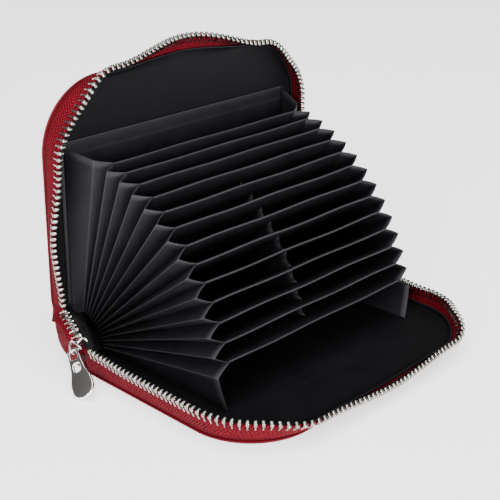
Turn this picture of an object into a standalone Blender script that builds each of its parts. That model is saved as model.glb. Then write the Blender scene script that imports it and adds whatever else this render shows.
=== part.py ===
"""Card wallet, standing open: two leather covers, a fan of accordion card pockets and a metal zip.

Every piece is laid out in the shut wallet's coordinates: spine line at y = 0, front edge towards -y,
lower cover's outer face at z = 0. The fold empties then open the wallet to its standing pose.
"""
import math

import bmesh
import bpy
from mathutils import Euler, Matrix, Vector

# Covers
cover_width = 0.136
cover_depth = 0.097
corner_radius = 0.028
leather_thickness = 0.0012
leather_edge_round = 0.0004
board_thickness = 0.0010
board_inset = 0.0058
board_corner_radius = corner_radius - board_inset
lining_thickness = 0.0005
lining_inset = 0.0017
seat_gap = 0.0003
shut_thickness = 0.028

# Folds
page_count = 13
first_page_height = 0.0064
end_fold_height = 0.00465
fold_setback = 0.002
open_angle = 89.0
end_fold_angle = 12.5

# Pages
page_side_inset = 0.01825
page_width = cover_width - 2 * page_side_inset
page_thickness = 0.0008
page_root = 0.002
page_reach = 0.068
page_edge_round = 0.00018

# Pleats
pleat_depth = 0.0067
pleat_thickness = 0.0003
pleat_root = 0.001
pleat_mid_row_share = 0.35
divider_thickness = 0.0005
divider_reach = 0.060
divider_gap = 0.00025
front_pocket_spread = 0.00325
front_pocket_half_width = page_width / 2 + front_pocket_spread
back_pocket_spread = 0.01075
back_pocket_half_width = page_width / 2 + back_pocket_spread
front_pocket_fold_share = 0.78
back_pocket_fold_share = 0.24
back_pocket_reach = 0.0705

# Slip pocket on the upper lining
slip_pocket_thickness = 0.0004
slip_pocket_side_inset = 0.006
slip_pocket_half_width = cover_width / 2 - slip_pocket_side_inset
slip_pocket_top = 0.074
slip_pocket_root = 0.0035

# Zip tape walls
tape_thickness = 0.0006
tape_edge_inset = 0.0005
flange_width = 0.0048
tape_bend = 0.0009
wall_height = 0.0087
tape_start = 0.0066
upper_trim = 0.0030
path_step = 0.0072
wall_row_shares = (0.4, 0.75, 1.0)
lean_station_shares = (0.0, 0.5, 1.0, 1.5, 2.0, 2.5, 3.0, 3.5, 4.0, 4.5, 5.0)
lower_lean_angles = (8, 17, 18, 26, 50, 62, 47, 4, -5, 18, 8)
upper_lean_angles = (8, 4, -12, -14, 9, 62, 25, -8, 5, 28, 12)

# Zip teeth
tooth_pitch = 0.00235
lower_teeth_left_out = 1
tooth_height = 0.00285
tooth_width = 0.0024
bead_height = 0.0012
bead_width = 0.0014
tooth_start_share = 0.3
tooth_end_share = 0.7
stop_length = 0.0026
stop_width = 0.0030
stop_height = 0.0026
stop_round = 0.0005

# Spine and tape ends
spine_bulge = 0.0075
spine_rows = 30
tape_end_inset = 0.0052
tape_end_thickness = 0.0005
tape_end_front = 0.0056
tape_end_clear = 0.0008
tape_end_rows = 10

# Slider
slider_overhang = 0.0010
slider_x = -(cover_width / 2 + slider_overhang)
slider_y = -0.0035
slider_z = 0.0151
slider_tilt = 50.0
slider_yaw = -20.0
slider_length = 0.0084
slider_mouth_width = 0.0074
slider_tail_width = 0.0058
slider_corner = 0.0012
plate_thickness = 0.0009
channel_height = 0.0028
flange_lip = 0.0007
flange_lip_width = 0.0007
neck_radius = 0.00095
neck_inset = 0.0012
bridge_span = 0.0044
bridge_height = 0.0035
bridge_wire = 0.00045
bridge_offset = -0.0024
bridge_lean = 48.0
bridge_points = 14

# Pull
pull_thickness = 0.0013
pull_ring_radius = 0.00255
pull_hole_radius = 0.0015
pull_hole_length = 0.0038
pull_slack = 0.0005
pull_length = 0.0225
pull_window_width = 0.0029
pull_window_length = 0.0040
pull_window_centre = 0.0088
pull_paddle_width = 0.0092
pull_edge_round = 0.00022
pull_outline_shares = (
    (0.16, 0.56), (0.30, 0.60), (0.45, 0.68), (0.54, 0.80), (0.63, 0.95), (0.74, 1.00),
    (0.85, 0.98), (0.92, 0.86), (0.965, 0.62), (0.99, 0.32),
)
pull_heading = -114.5
pull_drop = 26.0
pull_roll = 38.0
pull_slide = 0.0007

# Run of teeth and tape from the slider to the upper cover
run_mouth_offset = 0.0036
run_near_rise = 0.0045
run_near_back = -0.0002
run_near_out = 0.0012
run_near_up_shares = (0.8, -0.5, 0.1)
run_far_drop = 0.0030
run_tape_near_reach = 0.0030
run_tape_steps = 8

# Bottom stop of the zip, behind the slider
bottom_stop_length = 0.0030
bottom_stop_width = 0.0046
bottom_stop_thickness = 0.0032

for item in list(bpy.data.objects):
    bpy.data.objects.remove(item, do_unlink=True)

wallet = bpy.data.collections.new("card_wallet")
bpy.context.scene.collection.children.link(wallet)
cutters = bpy.data.collections.new("cutters")
bpy.context.scene.collection.children.link(cutters)


def make_material(name, colour, roughness, metallic=0.0):
    material = bpy.data.materials.new(name)
    material.use_nodes = True
    shader = material.node_tree.nodes["Principled BSDF"]
    shader.inputs["Base Color"].default_value = (*colour, 1.0)
    shader.inputs["Roughness"].default_value = roughness
    shader.inputs["Metallic"].default_value = metallic
    return material


red_leather = make_material("red_leather", (0.33, 0.018, 0.028), 0.45)
red_tape = make_material("red_tape", (0.36, 0.02, 0.03), 0.75)
dark_nylon = make_material("dark_nylon", (0.022, 0.023, 0.028), 0.6)
dark_lining = make_material("dark_lining", (0.03, 0.03, 0.034), 0.7)
grey_board = make_material("grey_board", (0.35, 0.33, 0.3), 0.85)
nickel = make_material("nickel", (0.82, 0.81, 0.79), 0.22, 1.0)
satin_steel = make_material("satin_steel", (0.45, 0.44, 0.43), 0.35, 1.0)

# Fold chain
half_thickness = shut_thickness / 2
page_pitch = (shut_thickness - 2 * first_page_height) / (page_count - 1)
page_fold_angle = (open_angle - 2 * end_fold_angle) / (page_count - 1)
page_heights = [first_page_height + page_pitch * index for index in range(page_count)]
lining_top = leather_thickness + seat_gap + board_thickness + seat_gap + lining_thickness
leaf_heights = [lining_top] + page_heights + [shut_thickness - lining_top]
fold_heights = [end_fold_height]
fold_heights += [page_heights[index] + page_pitch / 2 for index in range(page_count - 1)]
fold_heights += [shut_thickness - end_fold_height]
fold_angles = [end_fold_angle] + [page_fold_angle] * (page_count - 1) + [end_fold_angle]
fold_points = [Vector((0, -fold_setback, height)) for height in fold_heights]


def turn_about(point, angle):
    """A turn that opens the wallet by an angle in degrees about a fold's line."""
    turn = Matrix.Rotation(math.radians(-angle), 4, "X")
    return Matrix.Translation(point) @ turn @ Matrix.Translation(-point)


leaf_matrices = [Matrix.Identity(4)]
for fold_point, fold_angle in zip(fold_points, fold_angles):
    leaf_matrices.append(leaf_matrices[-1] @ turn_about(fold_point, fold_angle))

root = bpy.data.objects.new("lower_cover_root", None)
wallet.objects.link(root)
fold_empties = []
parent, parent_point = root, Vector((0, 0, 0))
for index, (fold_point, fold_angle) in enumerate(zip(fold_points, fold_angles)):
    empty = bpy.data.objects.new(f"fold_{index:02d}", None)
    empty.parent = parent
    empty.location = fold_point - parent_point
    empty.rotation_euler = (math.radians(-fold_angle), 0, 0)
    wallet.objects.link(empty)
    fold_empties.append(empty)
    parent, parent_point = empty, fold_point


def between_leaves(wedge, share):
    """The place of a surface between leaf number wedge and the next, at a share of the fold."""
    return leaf_matrices[wedge] @ turn_about(fold_points[wedge], fold_angles[wedge] * share)


def opened(point):
    """A point of the shut wallet where the folds carry it when the wallet stands open."""
    point = Vector(point)
    if point.z <= leaf_heights[0]:
        return point
    if point.z >= leaf_heights[-1]:
        return leaf_matrices[-1] @ point
    wedge = 0
    while point.z > leaf_heights[wedge + 1]:
        wedge += 1
    share = (point.z - leaf_heights[wedge]) / (leaf_heights[wedge + 1] - leaf_heights[wedge])
    return between_leaves(wedge, share) @ point


# Making and placing
def add_object(name, mesh, material, collection=wallet):
    item = bpy.data.objects.new(name, mesh)
    if material is not None:
        mesh.materials.append(material)
    collection.objects.link(item)
    return item


def place(item, leaf, offset=Vector((0, 0, 0)), turn=(0, 0, 0)):
    """Hang an object modelled in the shut wallet's coordinates on its leaf's fold empty."""
    if leaf == 0:
        item.parent = root
        item.location = offset
    else:
        item.parent = fold_empties[leaf - 1]
        item.location = offset - fold_points[leaf - 1]
    item.rotation_euler = turn
    return item


def place_on_upper(item):
    """Turn an object of the lower cover over, onto the upper cover."""
    return place(item, page_count + 1, Vector((0, 0, shut_thickness)), (0, math.pi, 0))


def solidify(item, thickness):
    modifier = item.modifiers.new("thickness", "SOLIDIFY")
    modifier.thickness = thickness
    modifier.offset = 0
    modifier.use_even_offset = False
    return modifier


def bevel(item, width, segments, angle=30):
    modifier = item.modifiers.new("rounded", "BEVEL")
    modifier.width = width
    modifier.segments = segments
    modifier.limit_method = "ANGLE"
    modifier.angle_limit = math.radians(angle)
    modifier.use_clamp_overlap = True
    return modifier


def unite(item, helper):
    helper.hide_render = True
    helper.display_type = "WIRE"
    modifier = item.modifiers.new("joined", "BOOLEAN")
    modifier.operation = "UNION"
    modifier.solver = "EXACT"
    modifier.object = helper
    return modifier


def smooth(mesh, angle=35):
    mesh.shade_smooth()
    mesh.set_sharp_from_angle(angle=math.radians(angle))


def grid_mesh(name, rows, closed=False):
    """A surface through rows of points; closed rows make a tube with capped ends."""
    mesh = bpy.data.meshes.new(name)
    build = bmesh.new()
    ring = [[build.verts.new(point) for point in row] for row in rows]
    columns = len(ring[0])
    last = columns if closed else columns - 1
    for above, below in zip(ring, ring[1:]):
        for index in range(last):
            following = (index + 1) % columns
            build.faces.new((above[index], above[following], below[following], below[index]))
    if closed:
        build.faces.new(ring[0][::-1])
        build.faces.new(ring[-1])
    bmesh.ops.recalc_face_normals(build, faces=build.faces)
    if closed and build.calc_volume(signed=True) < 0:
        bmesh.ops.reverse_faces(build, faces=build.faces)
    build.to_mesh(mesh)
    build.free()
    return mesh


def box_mesh(name, low, high):
    """A box between two corners, from the cube primitive."""
    mesh = bpy.data.meshes.new(name)
    build = bmesh.new()
    bmesh.ops.create_cube(build, size=1)
    low, high = Vector(low), Vector(high)
    size = high - low
    bmesh.ops.scale(build, vec=size, verts=build.verts)
    bmesh.ops.translate(build, vec=(low + high) / 2, verts=build.verts)
    build.to_mesh(mesh)
    build.free()
    return mesh


def outline_mesh(name, outlines, thickness, middle):
    """A flat plate from closed outlines, inner ones cut as holes, made as a filled 2D curve."""
    curve = bpy.data.curves.new(name, "CURVE")
    curve.dimensions = "2D"
    curve.fill_mode = "BOTH"
    curve.extrude = thickness / 2
    for outline in outlines:
        spline = curve.splines.new("POLY")
        spline.points.add(len(outline) - 1)
        spline.use_cyclic_u = True
        for point, place_xy in zip(spline.points, outline):
            point.co = (place_xy[0], place_xy[1], 0, 1)
    carrier = bpy.data.objects.new(name, curve)
    cutters.objects.link(carrier)
    bpy.context.view_layer.update()
    evaluated = carrier.evaluated_get(bpy.context.evaluated_depsgraph_get())
    mesh = bpy.data.meshes.new_from_object(evaluated)
    bpy.data.objects.remove(carrier, do_unlink=True)
    bpy.data.curves.remove(curve)
    build = bmesh.new()
    build.from_mesh(mesh)
    bmesh.ops.remove_doubles(build, verts=build.verts, dist=seat_gap / 100)
    bmesh.ops.translate(build, vec=(0, 0, middle), verts=build.verts)
    bmesh.ops.recalc_face_normals(build, faces=build.faces)
    build.to_mesh(mesh)
    build.free()
    return mesh


def arc(centre, radius, start, end, count):
    """Points round a circle's arc, angles in degrees."""
    steps = [start + (end - start) * index / count for index in range(count + 1)]
    return [(centre[0] + radius * math.cos(math.radians(step)),
             centre[1] + radius * math.sin(math.radians(step))) for step in steps]


def cover_outline(inset, radius, count=7):
    """Outline of a cover's layer: square at the spine, rounded at the front corners."""
    side = cover_width / 2 - inset
    front = cover_depth - inset
    left = arc((-side + radius, -front + radius), radius, 180, 270, count)
    right = arc((side - radius, -front + radius), radius, 270, 360, count)
    return [(-side, -inset)] + left + right + [(side, -inset)]


def cover_pair(name, make, material):
    """One mesh for both covers: as made on the lower one, turned over on the upper one."""
    mesh = make("cover_" + name)
    lower = place(add_object("lower_" + name, mesh, material), 0)
    upper = place_on_upper(bpy.data.objects.new("upper_" + name, mesh))
    wallet.objects.link(upper)
    return lower, upper


# Cover layers
board_bottom = leather_thickness + seat_gap
lining_bottom = board_bottom + board_thickness + seat_gap


def leather_mesh(name):
    outline = cover_outline(0, corner_radius)
    return outline_mesh(name, [outline], leather_thickness, leather_thickness / 2)


def board_mesh(name):
    outline = cover_outline(board_inset, board_corner_radius, 5)
    return outline_mesh(name, [outline], board_thickness, board_bottom + board_thickness / 2)


def lining_mesh(name):
    outline = cover_outline(lining_inset, corner_radius - lining_inset)
    return outline_mesh(name, [outline], lining_thickness, lining_bottom + lining_thickness / 2)


for leather in cover_pair("leather", leather_mesh, red_leather):
    bevel(leather, leather_edge_round, 1, 60)
cover_pair("board", board_mesh, grey_board)
cover_pair("lining", lining_mesh, dark_lining)


# Zip path
path_side = cover_width / 2 - tape_edge_inset
path_front = cover_depth - tape_edge_inset
path_radius = corner_radius - tape_edge_inset
side_length = path_front - path_radius - tape_start
corner_length = path_radius * math.pi / 2
front_length = 2 * (path_side - path_radius)
path_lengths = (side_length, corner_length, front_length, corner_length, side_length)
path_length = sum(path_lengths)
tape_height = leather_thickness + seat_gap + tape_thickness / 2


def path_place(distance):
    """Point on the tape's bend line, its outward direction and its station number."""
    section = 0
    while section < 4 and distance > path_lengths[section]:
        distance -= path_lengths[section]
        section += 1
    share = distance / path_lengths[section]
    low_x, high_x = -path_side + path_radius, path_side - path_radius
    corner_y = -path_front + path_radius
    if section == 0:
        point, outward = Vector((-path_side, -tape_start - distance, 0)), Vector((-1, 0, 0))
    elif section == 2:
        point, outward = Vector((low_x + distance, -path_front, 0)), Vector((0, -1, 0))
    elif section == 4:
        point, outward = Vector((path_side, corner_y + distance, 0)), Vector((1, 0, 0))
    else:
        turned = math.pi * (1 if section == 1 else 1.5) + share * math.pi / 2
        outward = Vector((math.cos(turned), math.sin(turned), 0))
        centre = Vector((low_x if section == 1 else high_x, corner_y, 0))
        point = centre + outward * path_radius
    return point, outward, section + share


def lean_at(station, angles):
    """The wall's lean between two table stations, eased at both."""
    index = min(int(station / lean_station_shares[1]), len(angles) - 2)
    share = station / lean_station_shares[1] - index
    eased = share * share * (3 - 2 * share)
    return math.radians(angles[index] + (angles[index + 1] - angles[index]) * eased)


def wall_frame(distance, angles):
    """Bend point, direction up the wall and direction square to the wall."""
    point, outward, station = path_place(distance)
    lean = lean_at(station, angles)
    up = outward * math.sin(lean) + Vector((0, 0, math.cos(lean)))
    across = outward * math.cos(lean) - Vector((0, 0, math.sin(lean)))
    return point + Vector((0, 0, tape_height)), up, across, outward


def tape_mesh(name, angles, trim):
    steps = round(path_length / path_step)
    rows = []
    for index in range(steps + 1):
        distance = trim + (path_length - 2 * trim) * index / steps
        bend, up, across, outward = wall_frame(distance, angles)
        row = [bend - outward * flange_width, bend - outward * tape_bend]
        row += [bend + up * tape_bend]
        row += [bend + up * wall_height * share for share in wall_row_shares]
        rows.append(row)
    return grid_mesh(name, rows)


def tooth_section(base, up, across, height, width):
    side = across * (width / 2)
    return [base - side, base + side, base + up * height + side, base + up * height - side]


def teeth_mesh(name, angles, first_share, trim, left_out=0):
    """One run of teeth along the tape's edge: a low bead with a raised tooth at every pitch."""
    count = int((path_length - 2 * trim - tooth_pitch) / tooth_pitch)
    start = trim + (path_length - 2 * trim - count * tooth_pitch) * first_share
    rows = []
    for index in range(left_out, count):
        for share, height, width in ((0, bead_height, bead_width),
                                     (tooth_start_share, tooth_height, tooth_width),
                                     (tooth_end_share, tooth_height, tooth_width)):
            distance = start + (index + share) * tooth_pitch
            bend, up, across, outward = wall_frame(distance, angles)
            base = bend + up * (wall_height + seat_gap)
            rows.append(tooth_section(base, up, across, height, width))
    bend, up, across, outward = wall_frame(start + count * tooth_pitch, angles)
    base = bend + up * (wall_height + seat_gap)
    rows.append(tooth_section(base, up, across, bead_height, bead_width))
    return grid_mesh(name, rows, closed=True)


lower_first_share, upper_first_share = 0.35, 0.5
lower_tape = add_object("lower_zip_tape",
                        tape_mesh("lower_tape", lower_lean_angles, 0), red_tape)
upper_tape = add_object("upper_zip_tape",
                        tape_mesh("upper_tape", upper_lean_angles, upper_trim), red_tape)
lower_teeth = add_object(
    "lower_zip_teeth",
    teeth_mesh("lower_teeth", lower_lean_angles, lower_first_share, 0, lower_teeth_left_out), nickel)
upper_teeth = add_object(
    "upper_zip_teeth",
    teeth_mesh("upper_teeth", upper_lean_angles, upper_first_share, upper_trim), nickel)
solidify(place(lower_tape, 0), tape_thickness)
solidify(place_on_upper(upper_tape), tape_thickness)
place(lower_teeth, 0)
place_on_upper(upper_teeth)


# Top stops at the right-hand end of each row
def stop_mesh(name, distance, angles, along):
    bend, up, across, outward = wall_frame(distance, angles)
    base = bend + up * (wall_height + seat_gap)
    near = base + along * seat_gap
    far = near + along * stop_length
    return grid_mesh(name, [tooth_section(near, up, across, stop_height, stop_width),
                            tooth_section(far, up, across, stop_height, stop_width)], closed=True)


lower_stop = add_object(
    "lower_zip_top_stop",
    stop_mesh("lower_stop", path_length, lower_lean_angles, Vector((0, 1, 0))), nickel)
upper_stop = add_object(
    "upper_zip_top_stop",
    stop_mesh("upper_stop", upper_trim, upper_lean_angles, Vector((0, 1, 0))), nickel)
bevel(place(lower_stop, 0), stop_round, 1)
bevel(place_on_upper(upper_stop), stop_round, 1)


# Pages
page_mesh = box_mesh("page", (-page_width / 2, -fold_setback - page_reach, -page_thickness / 2),
                     (page_width / 2, -fold_setback - page_root, page_thickness / 2))
page_mesh.materials.append(dark_nylon)
for index in range(page_count):
    page = bpy.data.objects.new(f"page_{index + 1:02d}", page_mesh)
    wallet.objects.link(page)
    place(page, index + 1, Vector((0, 0, page_heights[index])))
    bevel(page, page_edge_round, 1)


# Pleats
page_attach_x = page_width / 2 + seat_gap + pleat_thickness / 2
pleat_fold_x = page_width / 2 + pleat_depth
pleat_offset = seat_gap


def pleat_mesh(name, wedge, below, above, fold_share, fold_x):
    """Side pleats and root of one pocket: below and above give (half width, height, reach)."""
    mesh = bpy.data.meshes.new(name)
    build = bmesh.new()
    middle = between_leaves(wedge, fold_share)
    low_leaf, high_leaf = leaf_matrices[wedge], leaf_matrices[wedge + 1]
    fold_height = below[1] + (above[1] - below[1]) * fold_share
    fold_reach = below[2] + (above[2] - below[2]) * fold_share
    rows = {}
    for side in (-1, 1):
        for row, share in enumerate((0, pleat_mid_row_share, 1)):
            points = []
            for matrix, half, height, reach in (
                    (low_leaf, below[0], below[1], below[2]),
                    (middle, fold_x, fold_height, fold_reach),
                    (high_leaf, above[0], above[1], above[2])):
                radius = pleat_root + (reach - pleat_root) * share
                points.append(matrix @ Vector((side * half, -fold_setback - radius, height)))
            rows[side, row] = [build.verts.new(point) for point in points]
        for row in (0, 1):
            upper, lower = rows[side, row], rows[side, row + 1]
            for column in (0, 1):
                build.faces.new((upper[column], upper[column + 1],
                                 lower[column + 1], lower[column]))
        build.faces.new(rows[side, 0])
    left, right = rows[-1, 0], rows[1, 0]
    build.faces.new((left[0], right[0], right[2], left[2]))
    bmesh.ops.recalc_face_normals(build, faces=build.faces)
    build.to_mesh(mesh)
    build.free()
    return mesh


def divider_mesh(name, wedge):
    """A thin upright web down the middle of a card pocket, clear of both pages."""
    clear = page_thickness / 2 + divider_gap
    low_height = leaf_heights[wedge] + clear
    high_height = leaf_heights[wedge + 1] - clear
    rows = []
    for radius in (pleat_root, divider_reach):
        ends = []
        for matrix, height in ((leaf_matrices[wedge], low_height),
                               (leaf_matrices[wedge + 1], high_height)):
            for side in (-1, 1):
                point = Vector((side * divider_thickness / 2, -fold_setback - radius, height))
                ends.append(matrix @ point)
        rows.append([ends[0], ends[1], ends[3], ends[2]])
    return grid_mesh(name, rows, closed=True)


for wedge in range(page_count + 1):
    below = (page_attach_x, leaf_heights[wedge] + pleat_offset, page_reach)
    above = (page_attach_x, leaf_heights[wedge + 1] - pleat_offset, page_reach)
    fold_share = 0.5
    if wedge == 0:
        seat = lining_top + seat_gap + pleat_thickness / 2
        below = (front_pocket_half_width, seat, page_reach)
        fold_share = front_pocket_fold_share
    if wedge == page_count:
        seat = shut_thickness - lining_top - seat_gap - pleat_thickness / 2
        seat -= slip_pocket_thickness + seat_gap
        above = (back_pocket_half_width, seat, back_pocket_reach)
        fold_share = back_pocket_fold_share
    pleat = add_object(f"pleat_{wedge:02d}",
                       pleat_mesh(f"pleat_{wedge:02d}", wedge, below, above, fold_share,
                                  pleat_fold_x), dark_nylon)
    pleat.parent = root
    solidify(pleat, pleat_thickness)
    if 0 < wedge < page_count:
        divider = add_object(f"divider_{wedge:02d}", divider_mesh(f"divider_{wedge:02d}", wedge),
                             None, cutters)
        divider.parent = root
        unite(pleat, divider)

# Slip pocket on the inside of the upper cover
slip_height = lining_top + seat_gap
slip_pocket = add_object(
    "upper_slip_pocket",
    box_mesh("slip_pocket",
             (-slip_pocket_half_width, -slip_pocket_top, slip_height),
             (slip_pocket_half_width, -slip_pocket_root, slip_height + slip_pocket_thickness)),
    dark_nylon)
place_on_upper(slip_pocket)


# Spine leather
def spine_point(share, x, inset=0):
    """Across the spine from the lower cover's back edge to the upper one's, bulging backwards."""
    turn = math.pi * share
    height = half_thickness - (half_thickness - leather_thickness / 2 - inset) * math.cos(turn)
    return Vector((x, seat_gap + (spine_bulge - inset) * math.sin(turn), height))


spine_rows_points = [[opened(spine_point(row / spine_rows, side * cover_width / 2))
                      for side in (-1, 1)] for row in range(spine_rows + 1)]
spine = add_object("spine_leather", grid_mesh("spine_leather", spine_rows_points), red_leather)
spine.parent = root
solidify(spine, leather_thickness)
smooth(spine.data, 60)

# Tape ends: a curtain closing each end of the spine
tape_end_x = cover_width / 2 - tape_end_inset


def tape_end_points(side):
    rows = []
    low = lining_top + seat_gap + tape_end_thickness / 2
    for row in range(tape_end_rows + 1):
        share = row / tape_end_rows
        height = low + (shut_thickness - 2 * low) * share
        rise = (half_thickness - height) / (half_thickness - leather_thickness / 2)
        back = spine_bulge * math.sqrt(max(0, 1 - rise * rise))
        back = seat_gap + back - leather_thickness / 2 - tape_end_clear
        points = [Vector((side * tape_end_x, y, height))
                  for y in (-tape_end_front, (back - tape_end_front) / 2, back)]
        rows.append([opened(point) for point in points])
    return rows


for label, side in (("left", -1), ("right", 1)):
    curtain = add_object(f"tape_end_{label}", grid_mesh(f"tape_end_{label}", tape_end_points(side)),
                         red_tape)
    curtain.parent = root
    solidify(curtain, tape_end_thickness)

# Slider
slider_place = Vector((slider_x, slider_y, slider_z))
slider_turn = Euler((0, math.radians(slider_tilt), math.radians(slider_yaw)))
slider_half = channel_height / 2 + plate_thickness


def slider_plate(name, middle):
    """A slider plate seen square on: wide at the mouth (-y), narrower at the tail, cut corners."""
    mouth, tail, half = slider_mouth_width / 2, slider_tail_width / 2, slider_length / 2
    cut = slider_corner
    points = [(-mouth + cut, -half), (mouth - cut, -half), (mouth, -half + cut), (mouth, 0),
              (tail, half - cut), (tail - cut, half), (-tail + cut, half), (-tail, half - cut),
              (-mouth, 0), (-mouth, -half + cut)]
    return outline_mesh(name, [points], plate_thickness, middle)


plate_middle = channel_height / 2 + plate_thickness / 2
slider = add_object("slider_body", slider_plate("slider_outer_plate", -plate_middle), nickel)
inner_plate = add_object("slider_inner_plate", slider_plate("slider_inner_plate", plate_middle),
                         None, cutters)
neck_mesh = bpy.data.meshes.new("slider_neck")
neck_build = bmesh.new()
bmesh.ops.create_cone(neck_build, cap_ends=True, segments=10, radius1=neck_radius,
                      radius2=neck_radius, depth=channel_height + plate_thickness)
bmesh.ops.translate(neck_build, vec=(0, -slider_length / 2 + neck_inset + neck_radius, 0),
                    verts=neck_build.verts)
neck_build.to_mesh(neck_mesh)
neck_build.free()
neck = add_object("slider_neck", neck_mesh, None, cutters)
helpers = [inner_plate, neck]
lip_x = slider_tail_width / 2
for side in (-1, 1):
    for level in (-1, 1):
        outer = level * (channel_height / 2 + plate_thickness / 2)
        inner = level * (channel_height / 2 - flange_lip)
        low_z, high_z = min(outer, inner), max(outer, inner)
        near, far = side * (lip_x - flange_lip_width), side * lip_x
        lip = box_mesh("slider_lip", (min(near, far), -slider_corner, low_z),
                       (max(near, far), slider_length / 2 - slider_corner, high_z))
        helpers.append(add_object("slider_lip", lip, None, cutters))
for piece in [slider] + helpers:
    piece.parent = root
    piece.location = slider_place
    piece.rotation_euler = slider_turn
for helper in helpers:
    unite(slider, helper)

# Bridge over the slider's outer plate, across its width
bridge_curve = bpy.data.curves.new("slider_bridge", "CURVE")
bridge_curve.dimensions = "3D"
bridge_curve.bevel_depth = bridge_wire
bridge_curve.bevel_resolution = 2
bridge_curve.use_fill_caps = True
bridge_drop = math.cos(math.radians(bridge_lean))
bridge_forward = math.sin(math.radians(bridge_lean))
bridge_foot = slider_half + seat_gap + bridge_wire * bridge_forward
bridge_spline = bridge_curve.splines.new("POLY")
bridge_spline.points.add(bridge_points - 1)
for index, point in enumerate(bridge_spline.points):
    turn = math.pi * index / (bridge_points - 1)
    rise = bridge_height * math.sin(turn)
    point.co = (-bridge_span / 2 * math.cos(turn), bridge_offset - rise * bridge_forward,
                -bridge_foot - rise * bridge_drop, 1)
bridge = bpy.data.objects.new("slider_bridge", bridge_curve)
bridge_curve.materials.append(nickel)
wallet.objects.link(bridge)
bridge.parent = root
bridge.location = slider_place
bridge.rotation_euler = slider_turn

# Pull: a flat tab whose ring hangs on the bridge
pull_bar = (pull_ring_radius - pull_hole_radius) / 2
pull_hang = math.hypot(pull_bar, pull_thickness / 2) + pull_slack + bridge_wire
heading, drop = math.radians(pull_heading), math.radians(pull_drop)
pull_along = Vector((math.cos(heading) * math.cos(drop), math.sin(heading) * math.cos(drop),
                     -math.sin(drop)))
level = pull_along.cross(Vector((0, 0, 1))).normalized()
roll = Matrix.Rotation(math.radians(pull_roll), 3, pull_along)
pull_across = -(roll @ level)
pull_normal = pull_along.cross(pull_across)
pull_turn = Matrix((pull_across, -pull_along, pull_normal)).transposed().to_euler()
bridge_rise = bridge_height * math.sqrt(1 - (2 * pull_slide / bridge_span) ** 2)
bridge_top = slider_turn.to_matrix() @ Vector((
    pull_slide, bridge_offset - bridge_rise * bridge_forward, -bridge_foot - bridge_rise * bridge_drop))
pull_place = slider_place + bridge_top - pull_along * pull_hang
ring_centre = -(pull_ring_radius - pull_bar)
outline = arc((0, ring_centre), pull_ring_radius, 0, 180, 10)
paddle_half = pull_paddle_width / 2
left_side = [(-paddle_half * width, -pull_length * along) for along, width in pull_outline_shares]
right_side = [(paddle_half * width, -pull_length * along)
              for along, width in reversed(pull_outline_shares)]
outline = outline + left_side + [(0, -pull_length)] + right_side
hole_end = ring_centre - (pull_hole_length - pull_hole_radius)
ring_hole = arc((0, ring_centre), pull_hole_radius, 0, 180, 8)
ring_hole += [(-pull_hole_radius, hole_end), (pull_hole_radius, hole_end)]
window_half, window_tall = pull_window_width / 2, pull_window_length / 2
window = [(-window_half, -pull_window_centre - window_tall),
          (window_half, -pull_window_centre - window_tall),
          (window_half, -pull_window_centre + window_tall),
          (-window_half, -pull_window_centre + window_tall)]
pull = add_object("zip_pull", outline_mesh("zip_pull", [outline, ring_hole, window],
                                           pull_thickness, 0), satin_steel)
pull.parent = root
pull.location = pull_place
pull.rotation_euler = pull_turn
bevel(pull, pull_edge_round, 1, 50)

# Bottom stop behind the slider
stop_y = slider_length / 2 + seat_gap
bottom_stop = add_object(
    "zip_bottom_stop",
    box_mesh("zip_bottom_stop",
             (-bottom_stop_width / 2, stop_y, -bottom_stop_thickness / 2),
             (bottom_stop_width / 2, stop_y + bottom_stop_length, bottom_stop_thickness / 2)),
    nickel)
bottom_stop.parent = root
bottom_stop.location = slider_place
bottom_stop.rotation_euler = slider_turn
bevel(bottom_stop, stop_round, 1)


# The run of upper teeth and tape from the slider's mouth to the upper cover
def upper_place(point):
    """A point of the turned-over upper cover in the open wallet."""
    flipped = Matrix.Translation((0, 0, shut_thickness)) @ Matrix.Rotation(math.pi, 4, "Y")
    return leaf_matrices[-1] @ flipped @ point


slider_matrix = slider_turn.to_matrix()
upper_bend, upper_up, upper_across, upper_outward = wall_frame(path_length - upper_trim,
                                                               upper_lean_angles)
run_far = upper_place(upper_bend + upper_up * (wall_height + seat_gap))
run_far_up = (upper_place(upper_bend + upper_up) - upper_place(upper_bend)).normalized()
run_far_along = (upper_place(upper_bend + Vector((0, 1, 0)))
                 - upper_place(upper_bend)).normalized()
run_clear = seat_gap + tooth_width / 2
run_near_up = Vector(run_near_up_shares).normalized()
run_near = slider_place + slider_matrix @ Vector((-run_mouth_offset,
                                                  -slider_length / 2 - run_clear, 0))
run_near_bend = run_near + Vector((-run_near_out, run_near_back, run_near_rise))
run_far_bend = run_far + run_far_along * (seat_gap + run_far_drop)


def run_frame(share):
    """Place, tooth direction and sideways direction along the bent run."""
    first, last = run_near, run_far + run_far_along * seat_gap
    second, third = run_near_bend, run_far_bend
    rest = 1 - share
    point = (first * rest ** 3 + second * (3 * rest * rest * share)
             + third * (3 * rest * share * share) + last * share ** 3)
    along = ((second - first) * (rest * rest) + (third - second) * (2 * rest * share)
             + (last - third) * (share * share)).normalized()
    eased = share ** 3
    up = (run_near_up * (1 - eased) + run_far_up * eased).normalized()
    up = (up - along * up.dot(along)).normalized()
    return point, up, along.cross(up)


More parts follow.
